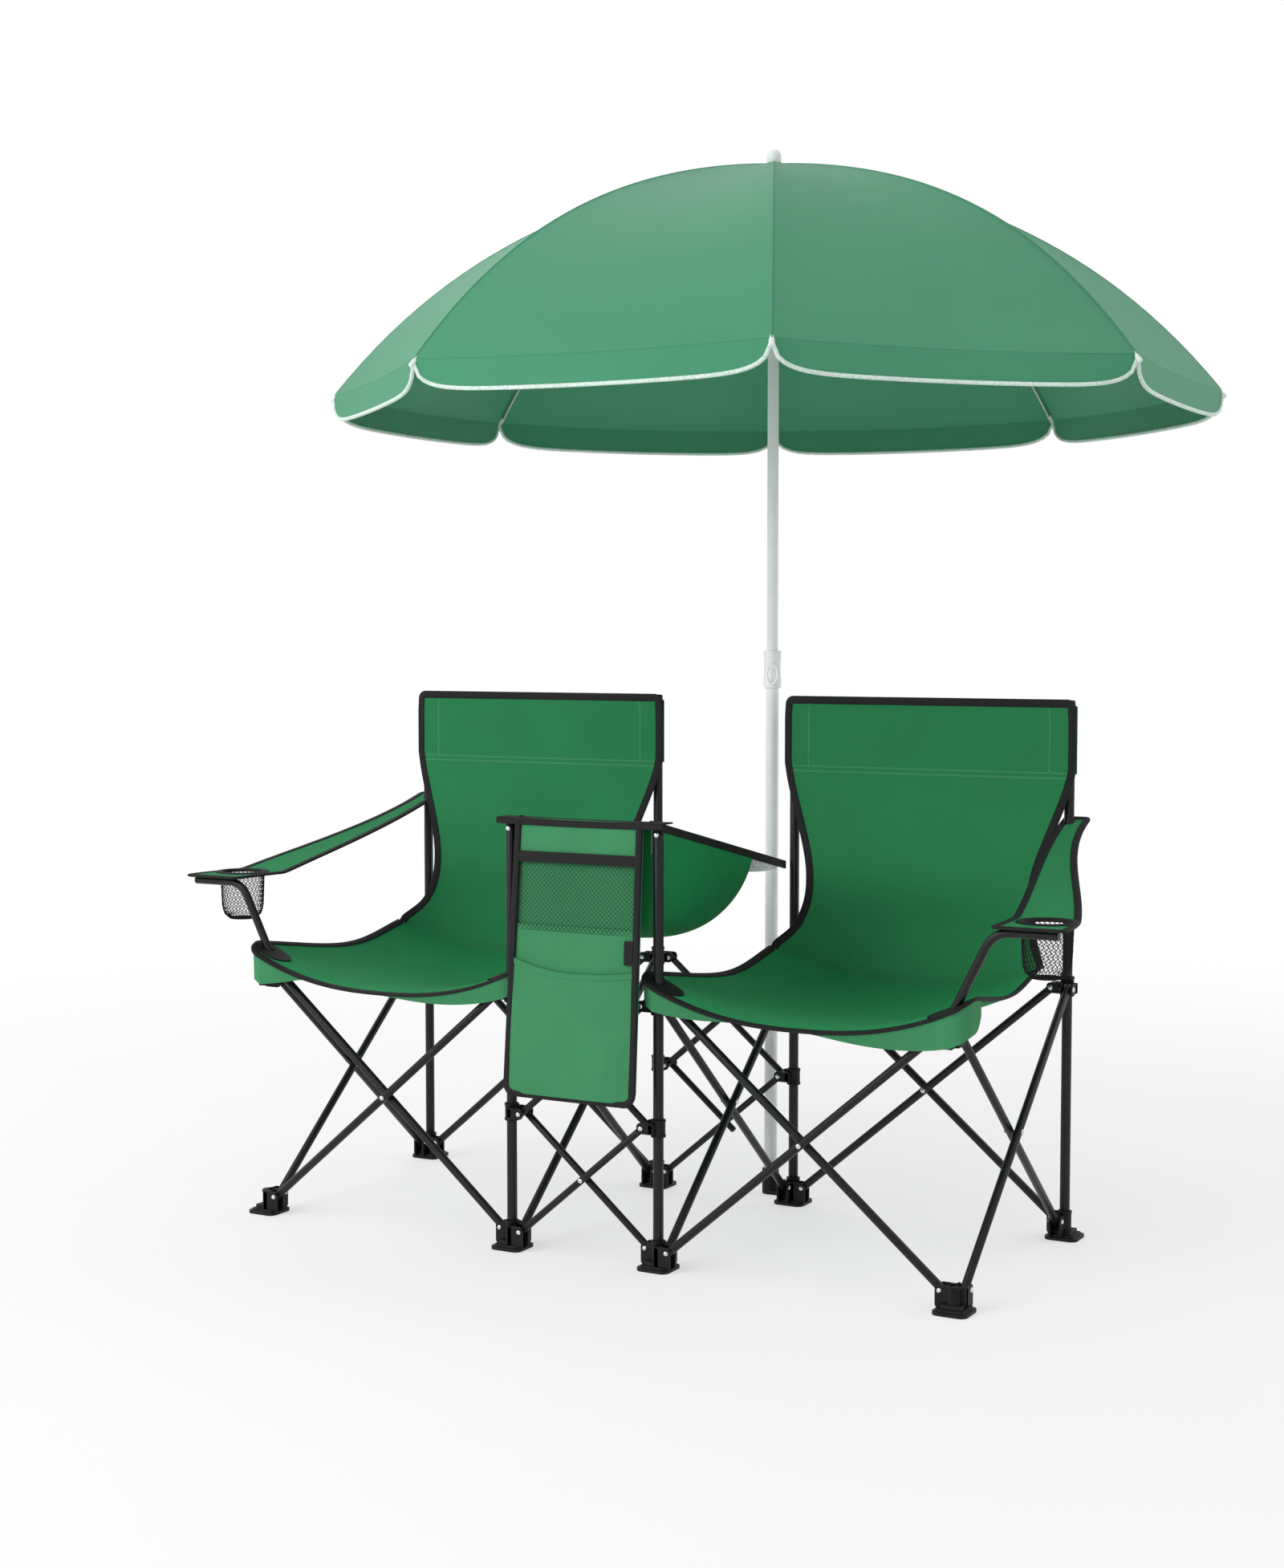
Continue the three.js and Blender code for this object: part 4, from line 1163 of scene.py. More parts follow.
    def socket(self, pole: Vector) -> Piece:
        """The umbrella's socket with its bracket to the foot.

        Args:
            pole: Where the pole stands.

        Returns:
            The joined socket.
        """
        corner = self.layout.corner("right_inner", "rear")
        half = self.base / 2
        cup = [(0.0, 0.006), (0.0114, 0.006), (0.0114, 0.044), (0.0138, 0.044)]
        cup += [(0.0145, 0.042), (0.0145, 0.001), (0.0135, 0.0), (0.0, 0.0), (0.0, 0.006)]
        made = [Bench.turned("pole_socket_cup", cup, Vector((pole.x, pole.y, 0.0)), Finish.PLASTIC, 32)]
        low = Vector((pole.x, corner.y + half + 0.0024, 0.0))
        high = Vector((corner.x - 0.012, pole.y + self.bridge, self.base_height))
        made.append(Bench.slab("pole_socket_web", low, high, Finish.PLASTIC, 0.002))
        low = Vector((corner.x - half, corner.y + 0.012, 0.0))
        made.append(Bench.slab("pole_socket_arm", low, high, Finish.PLASTIC, 0.002))
        for x in (corner.x - 0.034, corner.x - 0.019):
            made.append(Bench.rivet(Vector((x, pole.y + 0.002, self.base_height)), UP))
        return Bench.join("pole_socket", made)

    def build(self, pole: Vector) -> None:
        """Builds all the moulded pieces.

        Args:
            pole: Where the umbrella's pole stands.
        """
        left, right = Way.LEFT, Way.RIGHT
        for row, inward in zip(ROWS, (Way.BACK, Way.FRONT)):
            for column in self.layout.columns:
                corner = f"{column}_{row}"
                post = row == "rear" or column.endswith("inner")
                sideways = {"left_outer": (right,), "right_outer": (left,)}.get(column, (left, right))
                ways = (*sideways, inward)
                # The socket takes the place of one foot's ears on the console's side.
                leaving = ways[1:] if corner == "right_inner_rear" else ways
                fit(self.foot(column, row, leaving, post), corner, "black_plastic", f"{corner}_foot")
                hub = self.slider(column, row, ways) if post else self.arm_hub(column, ways[0])
                fit(hub, f"{corner}_hub", "black_plastic", f"{corner}_hub")
        for row in ROWS:
            for column, way in (("left_inner", right), ("right_inner", left)):
                name = f"{column}_{row}_collar"
                fit(self.slider(column, row, (way,), collar=True), name, "black_plastic", name)
        fit(self.socket(pole), "right_inner_rear", "black_plastic")


@dataclass
class Tubes:
    """The posts, the crossed braces and the bent arm tubes."""

    layout: Layout
    tip: float = 0.008
    stub: float = 0.020
    knee_rise: float = 0.012
    arm_lean: float = 0.5
    arm_height: float = 0.550
    hem_length: float = 0.096
    elbow_radius: float = 0.026

    def post(self, column: str, row: str) -> Piece:
        """An upright tube with a moulded cap on its top.

        Args:
            column: The column's name.
            row: The row's name.

        Returns:
            The post.
        """
        low, high = (Vector(p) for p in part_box(f"{column}_{row}_post"))
        at = (low + high) / 2
        bottom = Vector((at.x, at.y, low.z))
        top = Vector((at.x, at.y, high.z))
        name = f"{column}_{row}_post_tube"
        r = self.layout.post_radius
        tube = Bench.rod(name, bottom, top - UP * 0.004, r, Finish.STEEL)
        cap = [(0.0, 0.0), (r - 0.002, 0.0), (r - 0.0004, -0.0012), (r, -0.003)]
        cap += [(r, -0.016), (r - 0.0002, -0.0165), (0.0, -0.0165)]
        return Bench.join(name, [tube, Bench.turned(f"{name}_cap", cap, top, Finish.PLASTIC, 24)])

    def brace(
        self, name: str, line: Line, way: Way, radius: float, rivet: bool, short: bool = False
    ) -> Piece:
        """A straight brace with rounded tips, and the rivet where it is crossed.

        Args:
            name: The node's name.
            line: Its two pivots.
            way: The way that it rises.
            radius: Its radius.
            rivet: True if it carries the rivet.
            short: True if it ends just below the crossing.

        Returns:
            The brace.
        """
        low, high = line
        along = (high - low).normalized()
        middle = (low + high) / 2
        start = middle - along * self.stub if short else low - along * self.tip
        made = [Bench.rod(f"{name}_tube", start, high + along * self.tip, radius, Finish.STEEL, 0.0022)]
        if rivet:
            made += self.cross_rivet(middle, way, radius)
        return Bench.join(f"{name}_tube", made)

    def cross_rivet(self, middle: Vector, way: Way, radius: float) -> list[Piece]:
        """The two heads of the rivet at a crossing.

        Args:
            middle: The middle of the brace that carries it.
            way: The way that the brace rises.
            radius: Its radius.

        Returns:
            The heads.
        """
        across = self.layout.out(Vector(), way, 0.0, 1.0, 0.0)
        lane = self.layout.lane
        near = middle - across * (radius - 0.0002)
        far = middle + across * (2.0 * lane + radius + 0.0001)
        return [Bench.rivet(near, -across), Bench.rivet(far, across)]

    def arm_points(self, line: Line, side: float) -> list[Vector]:
        """The middle of an arm tube, from its foot to the end of its hem.

        Args:
            line: The two pivots of its lower stretch.
            side: 1 for the right arm and -1 for the left.

        Returns:
            The points.
        """
        low, high = line
        along = (high - low).normalized()
        start = low - along * self.tip
        knee = high + along * self.knee_rise
        elbow = Vector((knee.x + side * (self.arm_height - knee.z) * self.arm_lean, knee.y, self.arm_height))
        end = elbow + Vector((side * self.hem_length, 0.0, 0.0))
        points = [start, knee.lerp(start, 0.1)]
        points += self.bend(start, knee, elbow, self.knee_rise / 2, self.knee_rise)
        points += self.bend(knee, elbow, end, self.elbow_radius, self.elbow_radius)
        return points + [elbow.lerp(end, 0.7), end]

    def arm_path(self, side: str) -> list[Vector]:
        """The middle of the left or the right chair's arm tube."""
        lay = self.layout
        way = Way.RIGHT if side == "right" else Way.LEFT
        ends = (lay.corner(f"{side}_inner", "front"), lay.corner(f"{side}_outer", "front"))
        return self.arm_points(lay.line(*ends, way, lay.foot_pivot, lay.hub_pivot), way.value[0])

    @staticmethod
    def bend(before: Vector, at: Vector, after: Vector, come: float, leave: float) -> list[Vector]:
        """Points round a bend between two straight stretches."""
        a = at + (before - at).normalized() * come
        c = at + (after - at).normalized() * leave
        steps = 10
        return [a.lerp(at, k / steps).lerp(at.lerp(c, k / steps), k / steps) for k in range(steps + 1)]

    def crosses(self) -> list[tuple[str, Vector, Vector, Way, float, float, float]]:
        """Every pair of crossed braces.

        Returns:
            Name, near and far corner, way, lower and upper height, and radius of each.
        """
        lay = self.layout
        corner = lay.corner
        full = (lay.foot_pivot, lay.hub_pivot, lay.brace_radius)
        stages = {"lower": (lay.foot_pivot, lay.collar_pivot), "upper": (lay.collar_pivot, lay.hub_pivot)}
        chairs = {"left": ("left_outer", "left_inner"), "right": ("right_inner", "right_outer")}
        found = []
        for column in lay.columns:
            ends = (corner(column, "front"), corner(column, "rear"))
            found.append((f"{column}_side", *ends, Way.BACK, *full))
        for chair, (near, far) in chairs.items():
            for row in ROWS:
                found.append((f"{chair}_{row}", corner(near, row), corner(far, row), Way.RIGHT, *full))
        for row in ROWS:
            ends = (corner("left_inner", row), corner("right_inner", row))
            for stage, heights in stages.items():
                found.append((f"console_{row}_{stage}", *ends, Way.RIGHT, *heights, lay.console_radius))
        return found

    def build(self) -> None:
        """Builds all the tubes."""
        for column in self.layout.columns:
            for row in ROWS:
                if row == "rear" or column.endswith("inner"):
                    fit(self.post(column, row), f"{column}_{row}", "black_steel", f"{column}_{row}_post")
        for name, near, far, way, low, high, radius in self.crosses():
            toward = self.layout.line(near, far, way, low, high)
            away = self.layout.line(far, near, way.back, low, high)
            names = (f"{name}_rising_{way.name.lower()}", f"{name}_rising_{way.back.name.lower()}")
            pair = ((names[0], toward, way, True), (names[1], away, way.back, False))
            for node, line, heading, rivet in pair:
                if node in ("left_front_rising_left", "right_front_rising_right"):
                    self.arm(node, line, heading, radius, rivet)
                    continue
                short = node == "console_rear_lower_rising_left"
                fit(self.brace(node, line, heading, radius, rivet, short), node, "black_steel", node)

    def arm(self, node: str, line: Line, way: Way, radius: float, rivet: bool) -> None:
        """Builds the bent arm tube that takes the place of a front brace.

        Args:
            node: Name of that brace.
            line: Its two pivots.
            way: The way that it rises.
            radius: Its radius.
            rivet: True if it carries the rivet.
        """
        chair = node.split("_")[0]
        side = way.value[0]
        points = self.arm_points(line, side)
        tube = Bench.cord(f"{chair}_arm_bent_tube", points, radius, Finish.STEEL, sides=5)
        made = [tube]
        if rivet:
            made += self.cross_rivet((line[0] + line[1]) / 2, way, radius)
        fit(Bench.join(tube.name, made), f"{chair}_arm_tube", "black_steel", f"{chair}_arm_tube")


# Cloth


@dataclass
class Chair:
    """The slung seat and back of one chair."""

    layout: Layout
    side: str
    cloth: float = 0.0018
    tape: float = 0.0052
    tape_width: float = 0.0135
    folded_keep: float = 0.215
    seat_cut: Pair = (0.53, 0.50)
    back_cut: Pair = (0.51, 0.50)
    seat_heights: tuple[float, ...] = (0.397, 0.376, 0.395)
    seat_halves: tuple[float, ...] = (0.268, 0.243, 0.235)
    seat_rises: tuple[float, ...] = (0.059, 0.055, 0.080)
    back_heights: tuple[float, ...] = (0.395, 0.480, 0.578, 0.742, 0.861)
    back_halves: tuple[float, ...] = (0.235, 0.207, 0.200, 0.251, 0.251)
    back_rises: tuple[float, ...] = (0.080, 0.035, 0.010, 0.0, 0.0)
    overhang: float = 0.025
    crease: float = 0.050
    sleeve_gap: float = 0.0099
    bow: float = 2.4
    patch_z: float = 0.44

    def __post_init__(self) -> None:
        """Names the columns next to the console and away from it, and finds the chair's middle across."""
        self.inner, self.outer = f"{self.side}_inner", f"{self.side}_outer"
        self.middle = (self.layout.columns[self.outer] + self.layout.columns[self.inner]) / 2

    @property
    def pockets(self) -> dict[bool, Pair]:
        """Where the outer and inner corner pockets start across the front, and how deep they hang."""
        if self.side == "right":
            return {True: (0.10, 0.050), False: (0.45, 0.034)}
        return {True: (0.62, 0.046), False: (0.05, 0.034)}

    def seat_surface(self, u: float, v: float) -> Vector:
        """The seat from its front lip to the crease, bowed up along its edges.

        Args:
            u: Place across, from -1 to 1.
            v: Place back from the lip, from 0 to 1.

        Returns:
            The point.
        """
        front, rear = (self.layout.rows[row] for row in ROWS)
        y = spline((front - self.overhang, (front + rear) / 2, rear - self.crease), v)
        lip = 0.009 * max(0.0, 1.0 - v / 0.1) ** 2
        z = spline(self.seat_heights, v) - lip
        whole = spline(self.seat_halves, v)
        half = rounded(whole, 0.46 * v, 0.028)
        rise = spline(self.seat_rises, v) * abs(u * half / whole) ** self.bow
        lean = math.pi / 4 * ease(v)
        return Vector((self.middle + u * half, y - rise * math.sin(lean), z + rise * math.cos(lean)))

    def back_surface(self, u: float, v: float) -> Vector:
        """The back from the crease over the waist to the sleeve at its top.

        Args:
            u: Place across, from -1 to 1.
            v: Place up from the crease, from 0 to 1.

        Returns:
            The point.
        """
        rear = self.layout.rows["rear"]
        face = rear - self.sleeve_gap
        y = min(spline((rear - self.crease, rear - 0.027, rear - 0.028, face, face), v), face)
        z = spline(self.back_heights, v)
        half = rounded(min(spline(self.back_halves, v), 0.2525), 0.47 * (1.0 - v), 0.012)
        lean = math.pi / 4 + math.pi / 4 * ease(v * 2.0)
        rise = max(spline(self.back_rises, v), 0.0) * abs(u) ** self.bow
        tuck = 0.004 * max(0.0, 1.0 - v / 0.04)
        y += tuck - rise * math.sin(lean)
        z += rise * math.cos(lean) - tuck
        return Vector((self.middle + u * half, y, z))

    def sleeve_surface(self, u: float, v: float) -> Vector:
        """The layer behind the posts that makes the top of the back a sleeve."""
        rear = self.layout.rows["rear"]
        turn = self.sleeve_gap * (1.0 - abs(u) ** 30)
        half = rounded(0.2515, 0.12 * (1.0 - v), 0.012)
        return Vector((self.middle + u * half, rear + turn, 0.744 + 0.116 * v))

    def over(self, x: float, y: float) -> Vector:
        """The point of the seat over a place on the floor.

        Args:
            x: The place across the object.
            y: The place along it.

        Returns:
            The point.
        """
        half, depth, tries = 0.26, 0.46, 24
        u, v = 0.0, 0.1
        point = self.seat_surface(u, v)
        for _ in range(tries):
            u = min(max(u + (x - point.x) / half, -1.0), 1.0)
            v = min(max(v + (y - point.y) / depth, 0.0), 1.0)
            point = self.seat_surface(u, v)
        return point

    def build(self, tubes: Tubes) -> None:
        """Builds the seat, with a hole where the arm tube passes it, and the back."""
        self.seat(tubes)
        self.back()

    def seat(self, tubes: Tubes) -> None:
        """Builds the seat with its tape, and the patches and flaps at its front corners.

        Args:
            tubes: The tubes, for the place of the bent arm tube.
        """
        name = f"{self.side}_seat"
        lay, surface = self.layout, self.seat_surface
        cloth = Bench.sheet(f"{name}_cloth", surface, (48, 44), self.seat_cut, self.cloth, Finish.SEAT)
        places = route((-1.0, 1.0), (-1.0, 0.0), (1.0, 0.0), (1.0, 1.0))
        trims = [Bench.trim(f"{name}_tape", surface, places, self.tape_width, self.tape)]
        post = lay.corner(self.inner, "front")
        tubes_through = {
            "inner": (post + UP * 0.40, post + UP * 0.50, lay.post_radius + 0.0012),
            "outer": (*self.arm_stretch(tubes), lay.brace_radius + 0.0014),
        }
        for corner, (start, end, radius) in tubes_through.items():
            at = start.lerp(end, (self.patch_z - start.z) / (end.z - start.z))
            patch = self.patch(f"{name}_{corner}_patch", at)
            for piece in (cloth, patch):
                Bench.drill(piece, start, end, radius)
            trims.append(patch)
        for corner, way in (("left", -1.0), ("right", 1.0)):
            hanging, cut = self.flap_surface(way), (0.22, 0.05)
            flap = Bench.sheet(f"{name}_{corner}_pocket", hanging, (32, 10), cut, 0.0016, Finish.POCKET)
            trims.append(flap)
        self.finish("seat", cloth, trims, (surface, self.seat_cut), name)

    def arm_stretch(self, tubes: Tubes) -> Line:
        """The straight stretch of the arm tube that passes the seat."""
        points = tubes.arm_path(self.side)
        low, high = next((a, b) for a, b in zip(points, points[1:]) if a.z < self.patch_z < b.z)
        return low.lerp(high, -0.1), high

    def patch(self, name: str, at: Vector) -> Piece:
        """An oval black patch on the seat round a tube.

        Args:
            name: The piece's name.
            at: Where the tube passes.

        Returns:
            The patch.
        """
        toward = math.copysign(0.008, self.middle - at.x)
        wide, deep = 0.034, 0.021

        def oval(u: float, v: float) -> Vector:
            """The seat's surface inside the oval."""
            w = 2.0 * v - 1.0
            x = at.x + toward + wide * u * math.sqrt(1.0 - w * w / 2.0)
            y = at.y + deep * w * math.sqrt(1.0 - u * u / 2.0)
            return self.over(x, y) + UP * 0.0022

        piece = Bench.sheet(name, oval, (26, 18), (2.0 * wide, 2.0 * deep), 0.0024, Finish.PLASTIC)
        return Bench.soften(piece, 0.0006, 2)

    def flap_surface(self, way: float) -> Surface:
        """The pocket under a front corner of the seat, which holds the hub.

        Args:
            way: 1 for the right corner and -1 for the left.

        Returns:
            Its surface, from near the middle to the corner and round it.
        """
        outer = (way > 0.0) == (self.side == "right")
        start, deep = self.pockets[outer]
        turn = 0.72

        def flap(u: float, v: float) -> Vector:
            """The hanging cloth below the seat's edge.

            Args:
                u: Place along the edge, from -1 to 1.
                v: Place down from it, from 0 to 1.

            Returns:
                The point.
            """
            share = (u + 1.0) / 2.0
            across = start + (1.0 - start) * min(share / turn, 1.0)
            along = 0.14 * max(0.0, (share - turn) / (1.0 - turn)) ** 1.2
            edge = self.seat_surface(way * across, along)
            corner = max(0.0, (share - 0.86) / 0.14)
            drop = deep * min(share * 1.35, 1.0) ** 1.1 * (1.0 - 0.5 * corner ** 3)
            inside = 0.004 * min(1.0, max(0.0, (share - 0.6) / 0.3))
            return edge + Vector((-way * inside, 0.002 + 0.001 * v, -0.002 - drop * v))

        return flap

    def back(self) -> None:
        """Builds the back with its tape and the rear of its sleeve."""
        name = f"{self.side}_back"
        surface = self.back_surface
        cloth = Bench.sheet(f"{name}_cloth", surface, (48, 52), self.back_cut, self.cloth, Finish.BACK)
        places = route((-1.0, 0.0), (-1.0, 1.0), (1.0, 1.0), (1.0, 0.0))
        tape = Bench.trim(f"{name}_tape", surface, places, self.tape_width, self.tape)
        cut = (self.back_cut[0], 0.12)
        sleeve = Bench.sheet(f"{name}_sleeve", self.sleeve_surface, (60, 12), cut, 0.0014, Finish.BACK)
        self.finish("back", cloth, [tape, sleeve], (surface, self.back_cut), f"{self.inner}_rear")

    def finish(
        self, part: str, cloth: Piece, trims: list[Piece], cut: tuple[Surface, Pair], body: str
    ) -> None:
        """Puts a cloth and its trims on their body.

        Args:
            part: seat or back.
            cloth: The cloth.
            trims: The pieces sewn to it.
            cut: The cloth's surface, and its flat width and length.
            body: The body that they move with.
        """
        fit(cloth, body, "seat_cloth", f"{self.side}_{part}")
        for trim in trims:
            fit(trim, body, "seat_cloth")
        for piece in (cloth, *trims):
            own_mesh(piece)
        surface, size = cut
        area = sheet_area(surface)


def sheet_area(surface: Surface, steps: int = 24) -> float:
    """The area of a surface.

    Args:
        surface: The surface.
        steps: Cells each way.

    Returns:
        The area in square metres.
    """
    total = 0.0
    for i in range(steps):
        for j in range(steps):
            ua, ub = (2.0 * k / steps - 1.0 for k in (i, i + 1))
            va, vb = (k / steps for k in (j, j + 1))
            a, b, c, d = surface(ua, va), surface(ub, va), surface(ub, vb), surface(ua, vb)
            total += (b - a).cross(c - a).length / 2 + (c - a).cross(d - a).length / 2
    return total


@dataclass
class Armrest:
    """One cloth armrest with its cup holder."""

    layout: Layout
    side: str
    hem_z: float = 0.5583
    rear_z: float = 0.674
    sag: float = 0.004
    rear_half: float = 0.021
    cup_radius: float = 0.040
    cup_base: float = 0.034
    cup_depth: float = 0.078
    cup_setback: float = 0.070
    cup_lap: float = 0.003
    length: float = 0.53
    cloth: float = 0.0018
    folded_keep: float = 0.4

    @property
    def sign(self) -> float:
        """1 for the right armrest and -1 for the left."""
        return 1.0 if self.side == "right" else -1.0

    def build(self, tubes: Tubes) -> None:
        """Builds the strip, its tape, the ring and the net cup.

        Args:
            tubes: The tubes, for the place of the bent arm tube.
        """
        lay = self.layout
        rear = lay.corner(f"{self.side}_outer", "rear")
        end = tubes.arm_path(self.side)[-1]
        elbow_x = end.x - self.sign * tubes.hem_length
        front_middle = (elbow_x + end.x) / 2 + self.sign * lay.brace_radius
        front_half = tubes.hem_length / 2 + lay.brace_radius
        front_y = end.y - 0.016

        def surface(u: float, v: float) -> Vector:
            """The strip from its front hem to the loop round the rear post.

            Args:
                u: Place across, from -1 to 1.
                v: Place back from the hem, from 0 to 1.

            Returns:
                The point.
            """
            t = ease(v)
            middle = front_middle + (rear.x + self.sign * lay.post_radius - front_middle) * t
            whole = front_half + (self.rear_half - front_half) * t
            half = rounded(rounded(whole, 0.52 * v, 0.014), 0.52 * (1.0 - v), 0.010)
            y = front_y + (rear.y + self.rear_half - front_y) * v
            level = max(0.0, (v - 0.24) / 0.76)
            z = self.hem_z + (self.rear_z - self.hem_z) * level - self.sag * math.sin(math.pi * level)
            return Vector((middle + u * half, y, z))

        size = (2.0 * front_half, self.length)
        name = f"{self.side}_armrest"
        cup = Vector((front_middle, end.y + self.cup_setback, self.hem_z))
        cloth = Bench.sheet(f"{name}_cloth", surface, (24, 64), size, self.cloth, Finish.ARM)
        up = UP * 0.05
        post = Vector((rear.x, rear.y, self.rear_z))
        mouth = self.cup_radius - self.cup_lap
        Bench.drill(cloth, cup - up, cup + up, mouth)
        places = route((-1.0, 0.0), (-1.0, 1.0), (1.0, 1.0), (1.0, 0.0), (-1.0, 0.0))
        tape = Bench.trim(f"{name}_tape", surface, places, 0.0115, 0.0048)
        for piece in (cloth, tape):
            Bench.drill(piece, post - up, post + up, lay.post_radius + 0.0008)
        ring = self.ring(name, cup)
        net = self.net(name, cup)
        made = [cloth, tape, ring, net]
        fit(cloth, name, "seat_cloth", name)
        fit(tape, name, "seat_cloth")
        fit(ring, name, "black_plastic")
        fit(net, name, "seat_cloth")
        for piece in made:
            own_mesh(piece)
        holes = math.pi * (mouth ** 2 + (lay.post_radius + 0.0006) ** 2)
        area = sheet_area(surface) - holes

    def ring(self, name: str, cup: Vector) -> Piece:
        """The bound ring round the cup's mouth."""
        r = self.cup_radius
        profile = [(r - 0.006, -0.0012), (r - 0.0055, 0.0024), (r - 0.003, 0.0034), (r + 0.0035, 0.0032)]
        profile += [(r + 0.0055, 0.0018), (r + 0.0055, -0.001), (r + 0.001, -0.0024), (r - 0.004, -0.0026)]
        return Bench.turned(f"{name}_cup_ring", profile + profile[:1], cup, Finish.TAPE, 48)

    def net(self, name: str, cup: Vector) -> Piece:
        """The hanging cup as an open net of crossing cords.

        Args:
            name: Start of the piece's name.
            cup: Middle of the cup's mouth.

        Returns:
            The net.
        """
        around, down = 32, 10

        def wall(u: float, v: float) -> Vector:
            """The wall of the cup with a twist that makes its cells diamonds."""
            angle = math.pi * u + v * down * math.pi / around
            low = max(0.0, 0.35 - v) / 0.35
            r = self.cup_base + (self.cup_radius - self.cup_lap - self.cup_base) * v
            r -= 0.012 * (1.0 - math.sqrt(1.0 - low * low))
            return cup + Vector((r * math.cos(angle), r * math.sin(angle), self.cup_depth * (v - 1.0)))

        def floor(u: float, v: float) -> Vector:
            """The floor of the cup, from its middle out."""
            angle = math.pi * u
            r = 0.003 + (self.cup_base - 0.015) * v
            return cup + Vector((r * math.cos(angle), r * math.sin(angle), -self.cup_depth + 0.001))

        parts = []
        for surface, cells in ((wall, (around, down)), (floor, (16, 4))):
            piece = Bench.laid_grid(f"{name}_cup_net", surface, cells)
            with Bench.editing():
                bpy.ops.mesh.remove_doubles(threshold=10.0 * MERGE)
                bpy.ops.mesh.poke()
                bpy.ops.mesh.tris_convert_to_quads(face_threshold=math.pi, shape_threshold=math.pi)
            Bench.apply(piece, "WIREFRAME", thickness=0.0013, use_even_offset=False)
            parts.append(Bench.dress(Bench.smooth(piece, 60.0), Finish.NET))
        return Bench.join(f"{name}_cup_net", parts)


@dataclass
class Console:
    """The strap, the organiser and the cooler pouch between the chairs."""

    layout: Layout
    strap_z: float = 0.6793
    organiser_bottom: float = 0.254
    top_reach: float = 0.013
    bottom_reach: float = 0.046
    side_gap: float = 0.016
    pouch_gap: float = 0.014
    pouch_depth: float = 0.168
    pouch_share: float = 0.74
    rear_z: float = 0.585
    cloth: float = 0.0018
    folded_keep: float = 0.28
    pouch_keep: float = 0.22
    pouch_cut: Pair = (0.30, 0.58)
    post_gap: float = 0.012
    overlap: float = 0.016
    panel_length: float = 0.43
    net_low: float = 0.60
    net_high: float = 0.86

    def __post_init__(self) -> None:
        """Finds the posts across, and where the pouch starts, where its rim ends and its bottom comes up."""
        self.left, self.right = (self.layout.columns[name] for name in ("left_inner", "right_inner"))
        self.middle = (self.left + self.right) / 2
        self.front = self.layout.rows["front"] + self.post_gap
        self.rear = self.layout.rows["rear"] - self.post_gap
        self.end = self.front + (self.rear - self.front) * self.pouch_share

    def panel_point(self, u: float, v: float, proud: float = 0.0) -> Vector:
        """A point on the organiser's panel.

        Args:
            u: Place across, from -1 to 1.
            v: Place up, from 0 to 1.
            proud: Distance in front of the panel.

        Returns:
            The point.
        """
        front = self.layout.rows["front"]
        half = (self.right - self.left) / 2 - self.side_gap
        top = self.strap_z + 0.002
        lean = math.atan2(self.bottom_reach - self.top_reach, top - self.organiser_bottom)
        bottom_y = front - self.bottom_reach
        length = math.hypot(top - self.organiser_bottom, self.bottom_reach - self.top_reach)
        y = bottom_y + length * v * math.sin(lean) - proud * math.cos(lean)
        z = self.organiser_bottom + length * v * math.cos(lean) - proud * math.sin(lean)
        taper = rounded(half - 0.004 * v, length * v, 0.018)
        return Vector((self.middle + u * taper, y, z))

    def build(self) -> None:
        """Builds the console's cloth."""
        self.strap()
        self.organiser()
        self.pouch()

    def folding(self, piece: Piece) -> None:
        """Gives a piece a mesh of its own."""
        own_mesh(piece)

    def strap(self) -> None:
        """The webbing over the two front posts, with a rivet in each of them."""
        front = self.layout.rows["front"]
        length = self.right - self.left + 2.0 * self.overlap
        depth, hang = 0.034, 0.009

        def place(u: float, y: float, rise: float) -> Vector:
            """A point of the strap, which is a little slack between the posts."""
            slack = 0.0015 * (1.0 - u * u)
            return Vector((self.middle + u * length / 2, front + y, self.strap_z + rise - slack))

        def top(u: float, v: float) -> Vector:
            """The strap's upper layer."""
            return place(u, depth * (v - 0.5), 0.0018)

        def drop(u: float, v: float) -> Vector:
            """The strap's front fold, hanging over the edge."""
            return place(u, -0.0165 - 0.001 * v, 0.002 - hang * v)

        upper = Bench.sheet("console_strap", top, (40, 6), (length, depth), 0.0026, Finish.TAPE)
        fold = Bench.sheet("console_strap_fold", drop, (40, 4), (length, hang), 0.0024, Finish.TAPE)
        strap = Bench.join("console_strap", [Bench.soften(upper, 0.0006, 1), Bench.soften(fold, 0.0006, 1)])
        fit(strap, "right_inner_front", "seat_cloth", "console_cloth")
        self.folding(strap)
        for column in ("left_inner", "right_inner"):
            at = Vector((self.layout.columns[column], front - 0.0079, self.strap_z - 0.0155))
            rivet = Bench.rivet(at, Vector((0.0, -1.0, 0.0)), 1.1)
            fit(Bench.join(f"{column}_strap_rivet", [rivet]), f"{column}_front", "black_steel")

    def part(
        self, name: str, surface: Surface, grid: Cells, size: Pair,
        thickness: Optional[float] = None, finish: Finish = Finish.POCKET,
    ) -> Piece:
        """A cloth of the organiser, as thick as the console's cloth unless a thickness is given."""
        return Bench.sheet(f"organiser_{name}", surface, grid, size, thickness or self.cloth, finish)

    def window(self, low: float, high: float, proud: float, sag: float = 0.0) -> Surface:
        """Part of the organiser's panel between two heights, in front of it and bellied out.

        Args:
            low: Place of its lower edge up the panel.
            high: Place of its upper edge.
            proud: Distance in front of the panel.
            sag: How far its middle bellies out.

        Returns:
            Its surface.
        """

        def inside(u: float, v: float) -> Vector:
            """A point of that part."""
            belly = sag * (1.0 - u ** 4) * math.sin(math.pi * min(v * 0.9 + 0.05, 1.0))
            return self.panel_point(u, low + (high - low) * v, proud + belly)

        return inside

